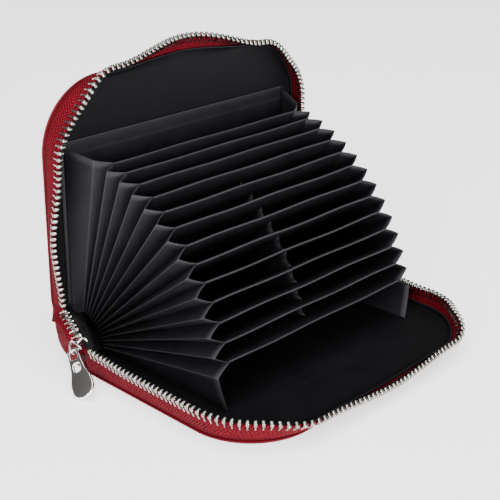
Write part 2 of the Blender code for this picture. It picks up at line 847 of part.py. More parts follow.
run_points = [run_frame(index / run_tape_steps)[0] for index in range(run_tape_steps + 1)]
run_reach = sum((far - near).length for near, far in zip(run_points, run_points[1:]))
run_count = max(3, round(run_reach / tooth_pitch))
run_rows = []
for index in range(run_count):
    for share, height, width in ((0, bead_height, bead_width),
                                 (tooth_start_share, tooth_height, tooth_width),
                                 (tooth_end_share, tooth_height, tooth_width)):
        point, up, across = run_frame((index + share) / run_count)
        run_rows.append(tooth_section(point, up, across, height, width))
point, up, across = run_frame(1)
run_rows.append(tooth_section(point, up, across, bead_height, bead_width))
run_teeth = add_object("upper_zip_run_teeth", grid_mesh("upper_run_teeth", run_rows, closed=True),
                       nickel)
run_teeth.parent = root

run_tape_rows = []
for index in range(run_tape_steps + 1):
    share = index / run_tape_steps
    point, up, across = run_frame(share)
    reach = run_tape_near_reach + (wall_height - run_tape_near_reach) * share ** 2
    base = point - up * seat_gap
    run_tape_rows.append([base - up * reach * part for part in (0, 0.5, 1)])
run_tape = add_object("upper_zip_run_tape", grid_mesh("upper_run_tape", run_tape_rows), red_tape)
run_tape.parent = root
solidify(run_tape, tape_thickness)

# Stand the wallet's middle over the world's origin, with its lowest point at zero height
bpy.context.view_layer.update()
graph = bpy.context.evaluated_depsgraph_get()
corners = []
for item in wallet.objects:
    if item.type in {"MESH", "CURVE"}:
        evaluated = item.evaluated_get(graph)
        shape = evaluated.to_mesh()
        corners += [item.matrix_world @ vertex.co for vertex in shape.vertices]
        evaluated.to_mesh_clear()
low = Vector([min(corner[axis] for corner in corners) for axis in range(3)])
high = Vector([max(corner[axis] for corner in corners) for axis in range(3)])
root.location = (-(low.x + high.x) / 2, -(low.y + high.y) / 2, -low.z)
bpy.context.view_layer.update()
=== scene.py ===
import math

import bmesh
import bpy
import numpy as np
from mathutils import Matrix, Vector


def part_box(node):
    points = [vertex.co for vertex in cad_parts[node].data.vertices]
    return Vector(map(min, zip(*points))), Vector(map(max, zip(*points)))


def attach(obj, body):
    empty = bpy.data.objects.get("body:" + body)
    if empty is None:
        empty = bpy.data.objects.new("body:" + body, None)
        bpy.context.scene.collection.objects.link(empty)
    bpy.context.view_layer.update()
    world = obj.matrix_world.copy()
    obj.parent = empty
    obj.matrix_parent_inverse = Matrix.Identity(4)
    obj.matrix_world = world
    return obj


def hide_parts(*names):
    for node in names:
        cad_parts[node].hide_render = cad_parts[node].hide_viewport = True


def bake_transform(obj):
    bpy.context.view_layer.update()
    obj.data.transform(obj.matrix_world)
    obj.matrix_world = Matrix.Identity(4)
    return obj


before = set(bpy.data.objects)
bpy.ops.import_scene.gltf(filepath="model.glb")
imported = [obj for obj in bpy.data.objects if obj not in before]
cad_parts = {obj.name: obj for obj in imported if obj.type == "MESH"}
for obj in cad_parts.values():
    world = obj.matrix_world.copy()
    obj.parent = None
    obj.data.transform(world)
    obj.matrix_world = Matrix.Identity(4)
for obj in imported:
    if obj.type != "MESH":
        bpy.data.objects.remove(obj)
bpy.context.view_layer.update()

print("wallet: frame loaded")

# the wallet's main sizes, in metres and degrees
wallet = {
    "coverWidth": 0.136, "coverDepth": 0.097, "cornerRadius": 0.028, "shutThickness": 0.028,
    "leather": 0.0012, "liningTop": 0.0033, "seatGap": 0.0003,
    "pageCount": 13, "firstPage": 0.0064, "endFold": 0.00465, "setback": 0.002,
    "openAngle": 89.0, "endAngle": 12.5,
    "drawDepth": 0.0017, "drawLength": 0.011,  # how far the sides draw in at the spine, and over what length
}
pageCount = wallet["pageCount"]
halfShut = wallet["shutThickness"] / 2
halfCover = wallet["coverWidth"] / 2
lowCorner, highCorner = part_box("lower_leather")
spineX = (lowCorner[0] + highCorner[0]) / 2
spineY = highCorner[1]
upright = np.array([0, 0, 1.0])


# placing
def shift(x, y, z):
    # a move, as a 4 by 4 matrix
    matrix = np.eye(4)
    matrix[:3, 3] = (x, y, z)
    return matrix


def turnAbout(axis, degrees):
    # a turn about X, Y or Z: the other two mix by the angle's cosine and sine
    first, second = {"X": (1, 2), "Y": (2, 0), "Z": (0, 1)}[axis]
    c, s = math.cos(math.radians(degrees)), math.sin(math.radians(degrees))
    matrix = np.eye(4)
    matrix[first, first] = matrix[second, second] = c
    matrix[first, second], matrix[second, first] = -s, s
    return matrix


def carry(points, matrix):
    # every point times the matrix
    return np.asarray(points, float) @ matrix[:3, :3].T + matrix[:3, 3]


def carryTurn(vectors, matrix):
    # directions turn but don't move
    return np.asarray(vectors, float) @ matrix[:3, :3].T


def between(first, second, share):
    # first plus a share of the way to second
    return first + (second - first) * share


def unit(vectors):
    # each direction over its own length
    return vectors / np.linalg.norm(vectors, axis=-1, keepdims=True)


def spread(*parts):
    # arrays of unlike shapes over one grid, their values side by side
    return np.stack(np.broadcast_arrays(*parts), -1)


def circle(steps):
    # even steps of one whole turn, with their cosines and sines
    turn = np.linspace(0, 2 * math.pi, steps + 1)[:-1]
    return turn, np.cos(turn), np.sin(turn)


def drawnIn(distance):
    # how far the sides draw in at a distance from the spine: depth times the squared cosine
    share = np.clip(np.abs(distance) / wallet["drawLength"], 0, 1)
    return wallet["drawDepth"] * np.cos(share * math.pi / 2) ** 2


# leaves: lower cover, pages and upper cover, with a fold between each two
pitch = (wallet["shutThickness"] - 2 * wallet["firstPage"]) / (pageCount - 1)
pageHeights = [wallet["firstPage"] + pitch * k for k in range(pageCount)]
leafHeights = [wallet["liningTop"]] + pageHeights + [wallet["shutThickness"] - wallet["liningTop"]]
foldHeights = ([wallet["endFold"]] + [pageHeights[k] + pitch / 2 for k in range(pageCount - 1)]
               + [wallet["shutThickness"] - wallet["endFold"]])
innerAngle = (wallet["openAngle"] - 2 * wallet["endAngle"]) / (pageCount - 1)
foldAngles = [wallet["endAngle"]] + [innerAngle] * (pageCount - 1) + [wallet["endAngle"]]
leafBodies = ["lower_cover"] + [f"page_{k:02d}" for k in range(1, pageCount + 1)] + ["upper_cover"]


def foldTurn(wedge, share=1.0):
    # opening turn about a fold's own line, by a share of its angle
    height, back = foldHeights[wedge], wallet["setback"]
    return shift(0, -back, height) @ turnAbout("X", -foldAngles[wedge] * share) @ shift(0, back, -height)


leafPlaces = [shift(spineX, spineY, 0)]
for wedge in range(pageCount + 1):
    leafPlaces.append(leafPlaces[-1] @ foldTurn(wedge))
lowerPlace = leafPlaces[0]
upperPlace = leafPlaces[-1] @ shift(0, 0, wallet["shutThickness"]) @ turnAbout("Y", 180)


def wedgePlace(wedge, share):
    # the plane a share of the way from one leaf to the next
    return leafPlaces[wedge] @ foldTurn(wedge, share)


def opened(points):
    # a point of the shut wallet, turned about the fold its height lies in, by its share of that height
    flat = np.asarray(points, float).reshape(-1, 3)
    result = np.empty_like(flat)
    slots = np.clip(np.searchsorted(leafHeights, flat[:, 2], side="right") - 1, 0, pageCount)
    for wedge in range(pageCount + 1):
        part = flat[slots == wedge]
        low, high = leafHeights[wedge], leafHeights[wedge + 1]
        angle = np.radians(-foldAngles[wedge] * np.clip((part[:, 2] - low) / (high - low), 0, 1))
        y, z = part[:, 1] + wallet["setback"], part[:, 2] - foldHeights[wedge]
        turned = spread(part[:, 0], y * np.cos(angle) - z * np.sin(angle) - wallet["setback"],
                        y * np.sin(angle) + z * np.cos(angle) + foldHeights[wedge])
        result[slots == wedge] = carry(turned, leafPlaces[wedge])
    return result.reshape(np.shape(points))


# mesh making
def gridFaces(rows, columns, wrap=False, start=0):
    # quads between neighbouring rows; a wrapped grid joins its last column to its first
    row = np.arange(rows - 1)[:, None] * columns + start
    column = np.arange(columns if wrap else columns - 1)[None, :]
    following = (column + 1) % columns
    corner, other = row + column, row + following
    return spread(corner, other, other + columns, corner + columns).reshape(-1, 4)


def makeObject(name, points, material, faces=None, uvs=None, marks=None, outward=False, sharp=40):
    # one mesh object from an array of points: a grid where no faces are given, with an optional UV
    # and optional values at every point
    points = np.asarray(points, float)
    faces = gridFaces(*points.shape[:2]) if faces is None else faces
    faces = faces.tolist() if isinstance(faces, np.ndarray) else faces
    mesh = bpy.data.meshes.new(name)
    mesh.from_pydata(points.reshape(-1, 3).tolist(), [], faces)
    if uvs is not None:
        layer = mesh.uv_layers.new(name="cloth")
        corner = np.empty(len(mesh.loops), dtype=np.int32)
        mesh.loops.foreach_get("vertex_index", corner)
        layer.data.foreach_set("uv", np.asarray(uvs, np.float32).reshape(-1, 2)[corner].ravel())
    for key, values in (marks or {}).items():
        markPoints(mesh, key, values)
    if outward:
        repairMesh(mesh)
    return showMesh(mesh, material, sharp)


def markPoints(mesh, key, values):
    # one value at every point, for the materials
    layer = mesh.attributes.new(key, "FLOAT", "POINT")
    layer.data.foreach_set("value", np.asarray(values, np.float32).ravel())


def repairMesh(mesh, merge=None):
    # doubles merged where a distance is given, then faces turned outwards
    build = bmesh.new()
    build.from_mesh(mesh)
    if merge:
        bmesh.ops.remove_doubles(build, verts=build.verts, dist=merge)
    bmesh.ops.recalc_face_normals(build, faces=build.faces)
    build.to_mesh(mesh)
    build.free()


def showMesh(mesh, material, sharp):
    # smooth shading up to an angle, one material, and an object at the origin
    mesh.shade_smooth()
    mesh.set_sharp_from_angle(angle=math.radians(sharp))
    mesh.materials.clear()
    mesh.materials.append(material)
    item = bpy.data.objects.new(mesh.name, mesh)
    bpy.context.scene.collection.objects.link(item)
    return item


def thicken(item, thickness, finished=False):
    # a sheet gets its wall, half to each side; a finished one keeps the mesh that the modifier leaves
    wall = item.modifiers.new("wall", "SOLIDIFY")
    wall.thickness = thickness
    wall.offset = 0
    if finished:
        shape = bpy.data.meshes.new_from_object(item.evaluated_get(bpy.context.evaluated_depsgraph_get()))
        item.modifiers.clear()
        item.data = shape


def dress(item, body=None, node=None):
    # the body a piece moves with, and the CAD node it stands for, which is hidden
    if body:
        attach(item, body)
    if node:
        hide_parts(node)


def foldBlend(item, wedge, start, end):
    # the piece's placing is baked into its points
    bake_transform(item)


def foldStrip(name, points, material, uvs, thickness, wedge, ends, node=None):
    # one thin strip for one fold
    item = makeObject(name, points, material, uvs=uvs, sharp=80)
    thicken(item, thickness, finished=True)
    dress(item, node=node)
    foldBlend(item, wedge, *ends)


def tubes(rings):
    # rings of points joined into tubes with closed ends: (tubes, rings, points, 3)
    count, rows, columns = rings.shape[:3]
    block = rows * columns
    starts = np.arange(0, count * block, block)
    faces = (gridFaces(rows, columns, wrap=True) + starts[:, None, None]).reshape(-1, 4).tolist()
    for start in starts.tolist():
        faces.append(list(range(start, start + columns))[::-1])
        faces.append(list(range(start + block - columns, start + block)))
    return rings.reshape(-1, 3), faces


def roundedPlate(outline, inset, level):
    # a closed outline drawn in along its own normals, level by level, with flat ends
    ahead = unit(np.roll(outline, -1, axis=0) - np.roll(outline, 1, axis=0))
    x, y = outline.T
    area = np.sum(x * np.roll(y, -1) - np.roll(x, -1) * y)
    inward = spread(-ahead[:, 1], ahead[:, 0]) * np.sign(area)
    rings = outline[None] + inward[None] * np.asarray(inset)[:, None, None]
    return spread(rings[..., 0], rings[..., 1], np.asarray(level)[:, None])


def quarterRound(radius, thickness, steps=4):
    # inset and height of a plate's edge: a quarter circle below, a quarter circle above
    turn = np.linspace(0, math.pi / 2, steps + 1)
    inset = radius * (1 - np.sin(turn))
    level = radius * (1 - np.cos(turn))
    return (np.concatenate([inset, inset[::-1]]),
            np.concatenate([level - thickness / 2, thickness / 2 - level[::-1]]))


def smoothOutline(points):
    # corner cutting: each side keeps its middle half, twice over
    points = np.asarray(points, float)
    for _ in range(2):
        following = np.roll(points, -1, axis=0)
        near, far = between(points, following, 0.25), between(points, following, 0.75)
        points = np.stack([near, far], 1).reshape(-1, 2)
    return points


def mirrored(right):
    # a closed outline from its right half: the same points again on the left, in reverse
    right = np.asarray(right, float)
    return np.concatenate([right, right[::-1] * (-1, 1)])


# materials
def newMaterial(name, colour, roughness, metallic=0.0, specular=None):
    # a plain finish with its even values, before its nodes
    material = bpy.data.materials.new(name)
    material.use_nodes = True
    shader = material.node_tree.nodes["Principled BSDF"]
    shader.inputs["Base Color"].default_value = (*colour, 1)
    shader.inputs["Roughness"].default_value = roughness
    shader.inputs["Metallic"].default_value = metallic
    if specular is not None:
        shader.inputs["Specular IOR Level"].default_value = specular
    return material, material.node_tree, shader


def feed(tree, value, socket):
    # a link from a socket, or a plain number or colour
    if isinstance(value, (int, float)):
        socket.default_value = value
    elif isinstance(value, tuple):
        socket.default_value = (*value, 1)
    else:
        tree.links.new(value, socket)


def mathNode(tree, operation, *values):
    # one sum on up to three values
    node = tree.nodes.new("ShaderNodeMath")
    node.operation = operation
    for socket, value in zip(node.inputs, values):
        feed(tree, value, socket)
    return node.outputs[0]


def scaled(tree, source, factor, plus=0.0):
    # source times factor, plus a number or a second source
    return mathNode(tree, "MULTIPLY_ADD", source, factor, plus)


def noiseNode(tree, source, scale, detail, output="Fac"):
    # cloudy noise, scale cells to the metre
    node = tree.nodes.new("ShaderNodeTexNoise")
    node.inputs["Scale"].default_value = scale
    node.inputs["Detail"].default_value = detail
    tree.links.new(source, node.inputs["Vector"])
    return node.outputs[output]


def rampNode(tree, source, positions, colours):
    # colours blended between positions from 0 to 1
    node = tree.nodes.new("ShaderNodeValToRGB")
    ramp = node.color_ramp
    while len(ramp.elements) < len(positions):
        ramp.elements.new(0.5)
    for element, position, colour in zip(ramp.elements, positions, colours):
        element.position = position
        element.color = (*colour, 1)
    tree.links.new(source, node.inputs["Fac"])
    return node.outputs["Color"]


def mixColour(tree, share, first, second):
    # first, with a share of second
    node = tree.nodes.new("ShaderNodeMix")
    node.data_type = "RGBA"
    kinds = {"Factor": "VALUE", "A": "RGBA", "B": "RGBA"}
    sockets = [entry for entry in node.inputs if entry.type == kinds.get(entry.name)]
    for value, socket in zip((share, first, second), sockets):
        feed(tree, value, socket)
    return [entry for entry in node.outputs if entry.type == "RGBA"][0]


def markNode(tree, name):
    # the value that a piece's points carry
    node = tree.nodes.new("ShaderNodeAttribute")
    node.attribute_name = name
    return node.outputs["Fac"]


def clothParts(tree):
    # the piece's own UV in metres, split into along and up
    node = tree.nodes.new("ShaderNodeUVMap")
    node.uv_map = "cloth"
    split = tree.nodes.new("ShaderNodeSeparateXYZ")
    tree.links.new(node.outputs["UV"], split.inputs[0])
    return split.outputs[0], split.outputs[1]


def objectPlace(tree):
    # where on the wallet a point lies, in metres
    return tree.nodes.new("ShaderNodeTexCoord").outputs["Object"]


def wave(tree, source, length):
    # 0 to 1 and back once in every length: half a sine plus a half
    return scaled(tree, mathNode(tree, "SINE", scaled(tree, source, 2 * math.pi / length)), 0.5, 0.5)


def finish(tree, shader, colour, height, depth, share=1.0, rough=None):
    # colour, roughness and relief into the shader; the relief's depth is in metres
    bump = tree.nodes.new("ShaderNodeBump")
    bump.inputs["Strength"].default_value = share
    bump.inputs["Distance"].default_value = depth
    tree.links.new(height, bump.inputs["Height"])
    tree.links.new(bump.outputs["Normal"], shader.inputs["Normal"])
    tree.links.new(colour, shader.inputs["Base Color"])
    if rough is not None:
        tree.links.new(rough, shader.inputs["Roughness"])


tapeLook = {
    "tones": ((0.022, 0.0004, 0.0018), (0.090, 0.0010, 0.0050), (0.172, 0.0028, 0.0110)),
    "stops": (0.08, 0.5, 0.95),
    "bandWidth": 0.0029, "ribPitch": 0.0014, "roughness": 0.85, "specular": 0.08, "relief": 0.00022,
    "line": (0.020, 0.0004, 0.0014), "lineHeight": 0.0013, "lineHalf": 0.00022, "lineShare": 0.75,
    "threadsPerRib": 3, "threadShare": 0.25, "clouds": 160, "cloudDetail": 4,
    "cloudShare": 0.35, "ribShare": 0.85, "toneShift": -0.08,
}


def makeTapeMaterial():
    # herringbone: ribs along the tape plus a zigzag of its height, threads along it minus the zigzag
    look = tapeLook
    material, tree, shader = newMaterial("woven_red_tape", look["tones"][1], look["roughness"],
                                         specular=look["specular"])
    along, up = clothParts(tree)
    band = mathNode(tree, "PINGPONG", up, look["bandWidth"])
    rib = wave(tree, mathNode(tree, "ADD", along, band), look["ribPitch"])
    thread = wave(tree, mathNode(tree, "SUBTRACT", along, band), look["ribPitch"] / look["threadsPerRib"])
    cloudy = noiseNode(tree, objectPlace(tree), look["clouds"], look["cloudDetail"])
    tone = scaled(tree, cloudy, look["cloudShare"], scaled(tree, rib, look["ribShare"], look["toneShift"]))
    colour = rampNode(tree, tone, look["stops"], look["tones"])
    # a darker sewn line low on the tape
    line = mathNode(tree, "ABSOLUTE", mathNode(tree, "SUBTRACT", up, look["lineHeight"]))
    seam = scaled(tree, mathNode(tree, "LESS_THAN", line, look["lineHalf"]), look["lineShare"])
    colour = mixColour(tree, seam, colour, look["line"])
    finish(tree, shader, colour, scaled(tree, thread, look["threadShare"], rib), look["relief"])
    return material


leatherLook = {
    "tones": ((0.060, 0.0008, 0.0036), (0.108, 0.0016, 0.0066), (0.162, 0.0034, 0.0115)),
    "stops": (0.2, 0.6, 1.0),
    "grain": 2300.0, "bend": 0.0004, "steep": 3.2, "roughness": 0.50, "specular": 0.18, "relief": 0.00005,
    "bendClouds": 500, "bendDetail": 2, "clouds": 55, "cloudDetail": 5, "pores": 2600, "poreDetail": 2,
    "pebbleShare": 0.35, "cloudShare": 0.42, "toneShift": 0.165, "poreShare": 0.25, "reliefShare": 0.6,
    "roughSpread": 0.18, "roughLow": 0.08,
}


def makeLeatherMaterial():
    # pebbled grain: the distance to the nearest edge of bent cells, cut flat at 1, with clouds over it
    look = leatherLook
    material, tree, shader = newMaterial("grained_red_leather", look["tones"][1], look["roughness"],
                                         specular=look["specular"])
    place = objectPlace(tree)
    bent = tree.nodes.new("ShaderNodeVectorMath")
    bent.operation = "MULTIPLY_ADD"
    bent.inputs[1].default_value = (look["bend"],) * 3
    tree.links.new(noiseNode(tree, place, look["bendClouds"], look["bendDetail"], "Color"), bent.inputs[0])
    tree.links.new(place, bent.inputs[2])
    cells = tree.nodes.new("ShaderNodeTexVoronoi")
    cells.feature = "DISTANCE_TO_EDGE"
    cells.inputs["Scale"].default_value = look["grain"]
    tree.links.new(bent.outputs[0], cells.inputs["Vector"])
    pebble = mathNode(tree, "MINIMUM", scaled(tree, cells.outputs["Distance"], look["steep"]), 1.0)
    cloudy = noiseNode(tree, place, look["clouds"], look["cloudDetail"])
    tone = scaled(tree, pebble, look["pebbleShare"],
                  scaled(tree, cloudy, look["cloudShare"], look["toneShift"]))
    pores = noiseNode(tree, place, look["pores"], look["poreDetail"])
    height = scaled(tree, pores, look["poreShare"], pebble)
    colour = rampNode(tree, tone, look["stops"], look["tones"])
    rough = scaled(tree, cloudy, look["roughSpread"], look["roughness"] - look["roughLow"])
    finish(tree, shader, colour, height, look["relief"], look["reliefShare"], rough)
    return material


# the edgeHighlight colours are painted highlights for the cloths' folds and edges
nylonLook = {"base": (0.0034, 0.0034, 0.0044), "worn": (0.0088, 0.0088, 0.0108),
             "edgeHighlight": (0.023, 0.023, 0.027), "roughness": 0.48, "specular": 0.2}
liningLook = {"base": (0.0012, 0.0012, 0.0017), "worn": (0.0032, 0.0032, 0.0042),
              "edgeHighlight": (0.020, 0.020, 0.024), "roughness": 0.6, "specular": 0.1}
# what both cloths share
clothLook = {"thread": 0.00034, "clouds": 90, "cloudDetail": 4, "highlightShare": 0.9, "wrinkles": 240,
             "wrinkleDetail": 3, "wrinkleShare": 1.6, "weaveShare": 0.35, "relief": 0.00012,
             "reliefShare": 0.8, "roughSpread": 0.2, "roughLow": 0.1}


def makeNylonMaterial(name, look):
    # plain weave: two crossed waves; folds and edges get a painted highlight, a paler tone mixed in by the
    # edgeHighlight value at the points
    material, tree, shader = newMaterial(name, look["base"], look["roughness"], specular=look["specular"])
    cloth = clothLook
    weave = mathNode(tree, "MULTIPLY", *(wave(tree, part, cloth["thread"]) for part in clothParts(tree)))
    place = objectPlace(tree)
    cloudy = noiseNode(tree, place, cloth["clouds"], cloth["cloudDetail"])
    # painted highlight: the paler tone where a piece's points mark a fold or an edge
    edge = scaled(tree, markNode(tree, "edgeHighlight"), cloth["highlightShare"])
    colour = mixColour(tree, edge, mixColour(tree, cloudy, look["base"], look["worn"]), look["edgeHighlight"])
    wrinkles = noiseNode(tree, place, cloth["wrinkles"], cloth["wrinkleDetail"])
    height = scaled(tree, wrinkles, cloth["wrinkleShare"], scaled(tree, weave, cloth["weaveShare"]))
    rough = scaled(tree, cloudy, cloth["roughSpread"], look["roughness"] - cloth["roughLow"])
    finish(tree, shader, colour, height, cloth["relief"], cloth["reliefShare"], rough)
    return material


# metals, thread and board: base colour, dull and bright tone, and where the noise reaches them
grainLooks = {
    "bright_nickel": {"base": (0.50, 0.49, 0.475), "tones": ((0.36, 0.35, 0.335), (0.50, 0.49, 0.475)),
                      "stops": (0.3, 0.7), "scale": 420, "detail": 4, "roughness": 0.22, "metallic": 1.0,
                      "smudge": 0.16, "smudgeLow": 0.07, "relief": 0.00002, "reliefShare": 0.5},
    # the teeth's nickel is a darker, browner copy of the bright nickel: painted shade, standing in for the
    # dark reflections the teeth show
    "shade_darkened_teeth_nickel": {"base": (0.40, 0.385, 0.36), "tones": ((0.20, 0.185, 0.165), (0.40, 0.385, 0.36)),
                          "stops": (0.3, 0.7), "scale": 420, "detail": 4, "roughness": 0.22, "metallic": 1.0,
                          "smudge": 0.16, "smudgeLow": 0.07, "relief": 0.00002, "reliefShare": 0.5},
    "red_thread": {"base": (0.16, 0.004, 0.010), "tones": ((0.09, 0.002, 0.005), (0.22, 0.008, 0.016)),
                   "stops": (0.3, 0.75), "scale": 4200, "detail": 2, "roughness": 0.7, "metallic": 0.0,
                   "smudge": 0, "relief": 0.00005, "reliefShare": 0.8},
    "grey_board": {"base": (0.35, 0.33, 0.3), "tones": ((0.28, 0.26, 0.235), (0.42, 0.40, 0.37)),
                   "stops": (0.3, 0.8), "scale": 900, "detail": 5, "roughness": 0.85, "metallic": 0.0,
                   "smudge": 0, "relief": 0.00008, "reliefShare": 0.6},
}


def makeGrainMaterial(name):
    # one noise moves the tone, the relief and, on metal, the roughness
    look = grainLooks[name]
    material, tree, shader = newMaterial(name, look["base"], look["roughness"], look["metallic"])
    noise = noiseNode(tree, objectPlace(tree), look["scale"], look["detail"])
    rough = None
    if look["smudge"]:
        rough = scaled(tree, noise, look["smudge"], look["roughness"] - look["smudgeLow"])
    finish(tree, shader, rampNode(tree, noise, look["stops"], look["tones"]), noise, look["relief"],
           look["reliefShare"], rough)
    return material


satinLook = {"dark": (0.135, 0.132, 0.126), "pale": (0.180, 0.176, 0.168), "rim": (0.86, 0.855, 0.84),
             "roughness": 0.42, "rimRoughness": 0.16, "grain": 3200, "detail": 2,
             "relief": 0.000012, "reliefShare": 0.6}


def makeSatinMaterial():
    # fine grain on the face, bright and smoother on the rim
    look = satinLook
    material, tree, shader = newMaterial("satin_pull", look["dark"], look["roughness"], 1.0)
    grain = noiseNode(tree, objectPlace(tree), look["grain"], look["detail"])
    rim = markNode(tree, "rim")
    colour = mixColour(tree, rim, mixColour(tree, grain, look["dark"], look["pale"]), look["rim"])
    rough = scaled(tree, rim, look["rimRoughness"] - look["roughness"], look["roughness"])
    finish(tree, shader, colour, grain, look["relief"], look["reliefShare"], rough)
    return material


redTape = makeTapeMaterial()
redLeather = makeLeatherMaterial()
darkNylon = makeNylonMaterial("charcoal_nylon", nylonLook)
darkLining = makeNylonMaterial("dark_lining", liningLook)
nickel, toothNickel, redThread, greyBoard = (makeGrainMaterial(name) for name in grainLooks)
satinSteel = makeSatinMaterial()
for node in ("lower_board", "upper_board"):
    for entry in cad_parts[node].material_slots:
        entry.material = greyBoard
print("wallet: materials made")

# zip path
zipPath = {
    "edgeInset": 0.0005, "start": 0.0066, "wallHeight": 0.0087, "tapeThickness": 0.0006,
    "flange": 0.0048, "flangeMiddle": 0.0028, "bend": 0.0009,
    # how far the wall leans outwards, in degrees, at every half section of the path
    "lowerLean": (8, 17, 18, 26, 50, 62, 47, 4, -5, 18, 8),
    "upperLean": (8, 4, -12, -14, 9, 62, 25, -8, 5, 28, 12),
    "upperTrim": 0.0030,
}
wallHeight = zipPath["wallHeight"]
halfSide = halfCover - zipPath["edgeInset"]
frontLine = wallet["coverDepth"] - zipPath["edgeInset"]
pathRadius = wallet["cornerRadius"] - zipPath["edgeInset"]
sideLength = frontLine - pathRadius - zipPath["start"]
cornerLength = pathRadius * math.pi / 2
pathLengths = np.array([sideLength, cornerLength, 2 * (halfSide - pathRadius), cornerLength, sideLength])
pathEnds = np.concatenate([[0], np.cumsum(pathLengths)])
pathTotal = pathEnds[-1]
tapeLevel = wallet["leather"] + wallet["seatGap"] + zipPath["tapeThickness"] / 2
# label, place, body, lean and how much the tape stops short, for the two covers
coverSides = (("lower", lowerPlace, "lower_cover", zipPath["lowerLean"], 0),
              ("upper", upperPlace, "upper_cover", zipPath["upperLean"], zipPath["upperTrim"]))


def pathAt(distance):
    # straight side, quarter circle, straight front, quarter circle, straight side
    distance = np.asarray(distance, float)
    section = np.clip(np.searchsorted(pathEnds, distance, side="right") - 1, 0, 4)
    local = distance - pathEnds[section]
    share = local / pathLengths[section]
    none = 0 * local
    lowX, cornerY = -halfSide + pathRadius, -frontLine + pathRadius
    turn = np.where(section == 1, math.pi, 1.5 * math.pi) + share * math.pi / 2
    c, s = np.cos(turn), np.sin(turn)
    roundX = np.where(section == 1, lowX, -lowX) + pathRadius * c
    roundY = cornerY + pathRadius * s
    y = np.choose(section, [-zipPath["start"] - local, roundY, -frontLine + none, roundY, cornerY + local])
    x = np.choose(section, [-halfSide + drawnIn(y), roundX, lowX + local, roundX, halfSide - drawnIn(y)])
    outward = spread(np.choose(section, [-1 + none, c, none, c, 1 + none]),
                     np.choose(section, [none, s, -1 + none, s, none]), none)
    return spread(x, y, none), outward, section + share


def wallFrame(distance, angles):
    # bend line point, then directions up the wall, square to it and straight out; the lean is eased
    # between the table's angles by 3 t squared less 2 t cubed
    point, outward, station = pathAt(distance)
    angles = np.asarray(angles, float)
    index = np.minimum((station / 0.5).astype(int), len(angles) - 2)
    share = station / 0.5 - index
    lean = np.radians(between(angles[index], angles[index + 1], share * share * (3 - 2 * share)))[..., None]
    up = outward * np.sin(lean) + upright * np.cos(lean)
    across = outward * np.cos(lean) - upright * np.sin(lean)
    return point + upright * tapeLevel, up, across, outward


# covers
coverShape = {
    "cornerSteps": 26, "sideSteps": 16, "sideCrowding": 1.8, "frontSteps": 10,
    # inset and height of the leather's section, from the outer face round the edge to the inner face
    "section": ((0.0088, 0.0), (0.0074, 0.00003), (0.0062, 0.00016), (0.0056, 0.00030), (0.0050, 0.00025),
                (0.0042, 0.00020), (0.0012, 0.00020), (0.0006, 0.00026), (0.0002, 0.00042), (0.0, 0.00066),
                (0.0001, 0.00092), (0.0004, 0.00112), (0.0009, 0.0012), (0.0088, 0.0012)),
    "stitchInset": 0.0027, "stitchLevel": 0.00024, "stitchStart": 0.002, "stitchPitch": 0.0031,
    "stitchLength": 0.0023, "stitchRadius": 0.00023, "stitchSides": 6,
    # share of a stitch's half length, and of its radius there
    "stitchSwell": ((-1.0, 0.25), (-0.88, 0.75), (-0.5, 0.98), (0.0, 1.0),
                    (0.5, 0.98), (0.88, 0.75), (1.0, 0.25)),
}


def coverOutline(inset):
    # three sides of a cover with two round corners, from the spine's left end to its right end
    radius = wallet["cornerRadius"] - inset
    side = halfCover - inset
    turn = np.linspace(math.pi, 1.5 * math.pi, coverShape["cornerSteps"])
    left = spread(radius - side + radius * np.cos(turn),
                  radius - (wallet["coverDepth"] - inset) + radius * np.sin(turn))
    start = np.array([[-side, 0.0]])
    crowded = np.linspace(0, 1, coverShape["sideSteps"])[:-1, None] ** coverShape["sideCrowding"]
    leftSide = between(start, left[:1], crowded)
    leftSide[:, 0] += drawnIn(leftSide[:, 1])
    middle = between(left[-1:], left[-1:] * (-1, 1), np.linspace(0, 1, coverShape["frontSteps"])[1:-1, None])
    return np.concatenate([leftSide, left, middle, left[::-1] * (-1, 1), leftSide[::-1] * (-1, 1)])


def makeCoverLeather(label, place):
    # the section carried round three sides of the cover, closed flat below, above and along the spine
    rows = np.array([spread(*coverOutline(inset).T, level) for inset, level in coverShape["section"]])
    count, columns = rows.shape[:2]
    left = list(range(0, count * columns, columns))
    faces = gridFaces(count, columns).tolist()
    faces.append(list(range(columns)))
    faces.append(list(range((count - 1) * columns, count * columns))[::-1])
    faces.append(left + [index + columns - 1 for index in left[::-1]])
    return makeObject(f"{label}_cover_leather", carry(rows, place), redLeather, faces, uvs=rows[..., :2],
                      outward=True, sharp=50)


def makeStitches(label, place):
    # one small capsule for each stitch: a ring of points swelling and closing along the cover's edge
    first, step = coverShape["stitchStart"], coverShape["stitchPitch"]
    count = int((pathTotal - 2 * first) / step)
    point, outward, station = pathAt(first + (np.arange(count) + 0.5) * step)
    inset = coverShape["stitchInset"] - zipPath["edgeInset"]
    middle = point - outward * inset + upright * coverShape["stitchLevel"]
    ahead = np.cross(upright, outward)[:, None, None]
    side = np.cross(ahead, -upright)
    _, c, s = circle(coverShape["stitchSides"])
    share, swell = np.array(coverShape["stitchSwell"]).T[:, None, :, None, None]
    ring = c[:, None] * side - s[:, None] * upright
    rings = (middle[:, None, None] + ahead * share * coverShape["stitchLength"] / 2
             + ring * swell * coverShape["stitchRadius"])
    points, faces = tubes(carry(rings, place))
    return makeObject(f"{label}_cover_stitches", points, redThread, faces, outward=True, sharp=60)


for label, place, body, angles, trim in coverSides:
    dress(makeCoverLeather(label, place), body, f"{label}_leather")
    dress(makeStitches(label, place), body)
print("wallet: covers made")

# lining with its turned-up edge
liningShape = {"thickness": 0.0005, "wall": 0.0004, "cutShare": 0.965, "upturn": 0.0024, "away": 0.00085,
               "columns": 260, "round": 0.0012, "floor": (0.0125, 0.0080, 0.0045), "endGap": 0.0004,
               "roundShares": (0.35, 0.7), "topEdgeHighlight": 0.8, "wallRows": 6}


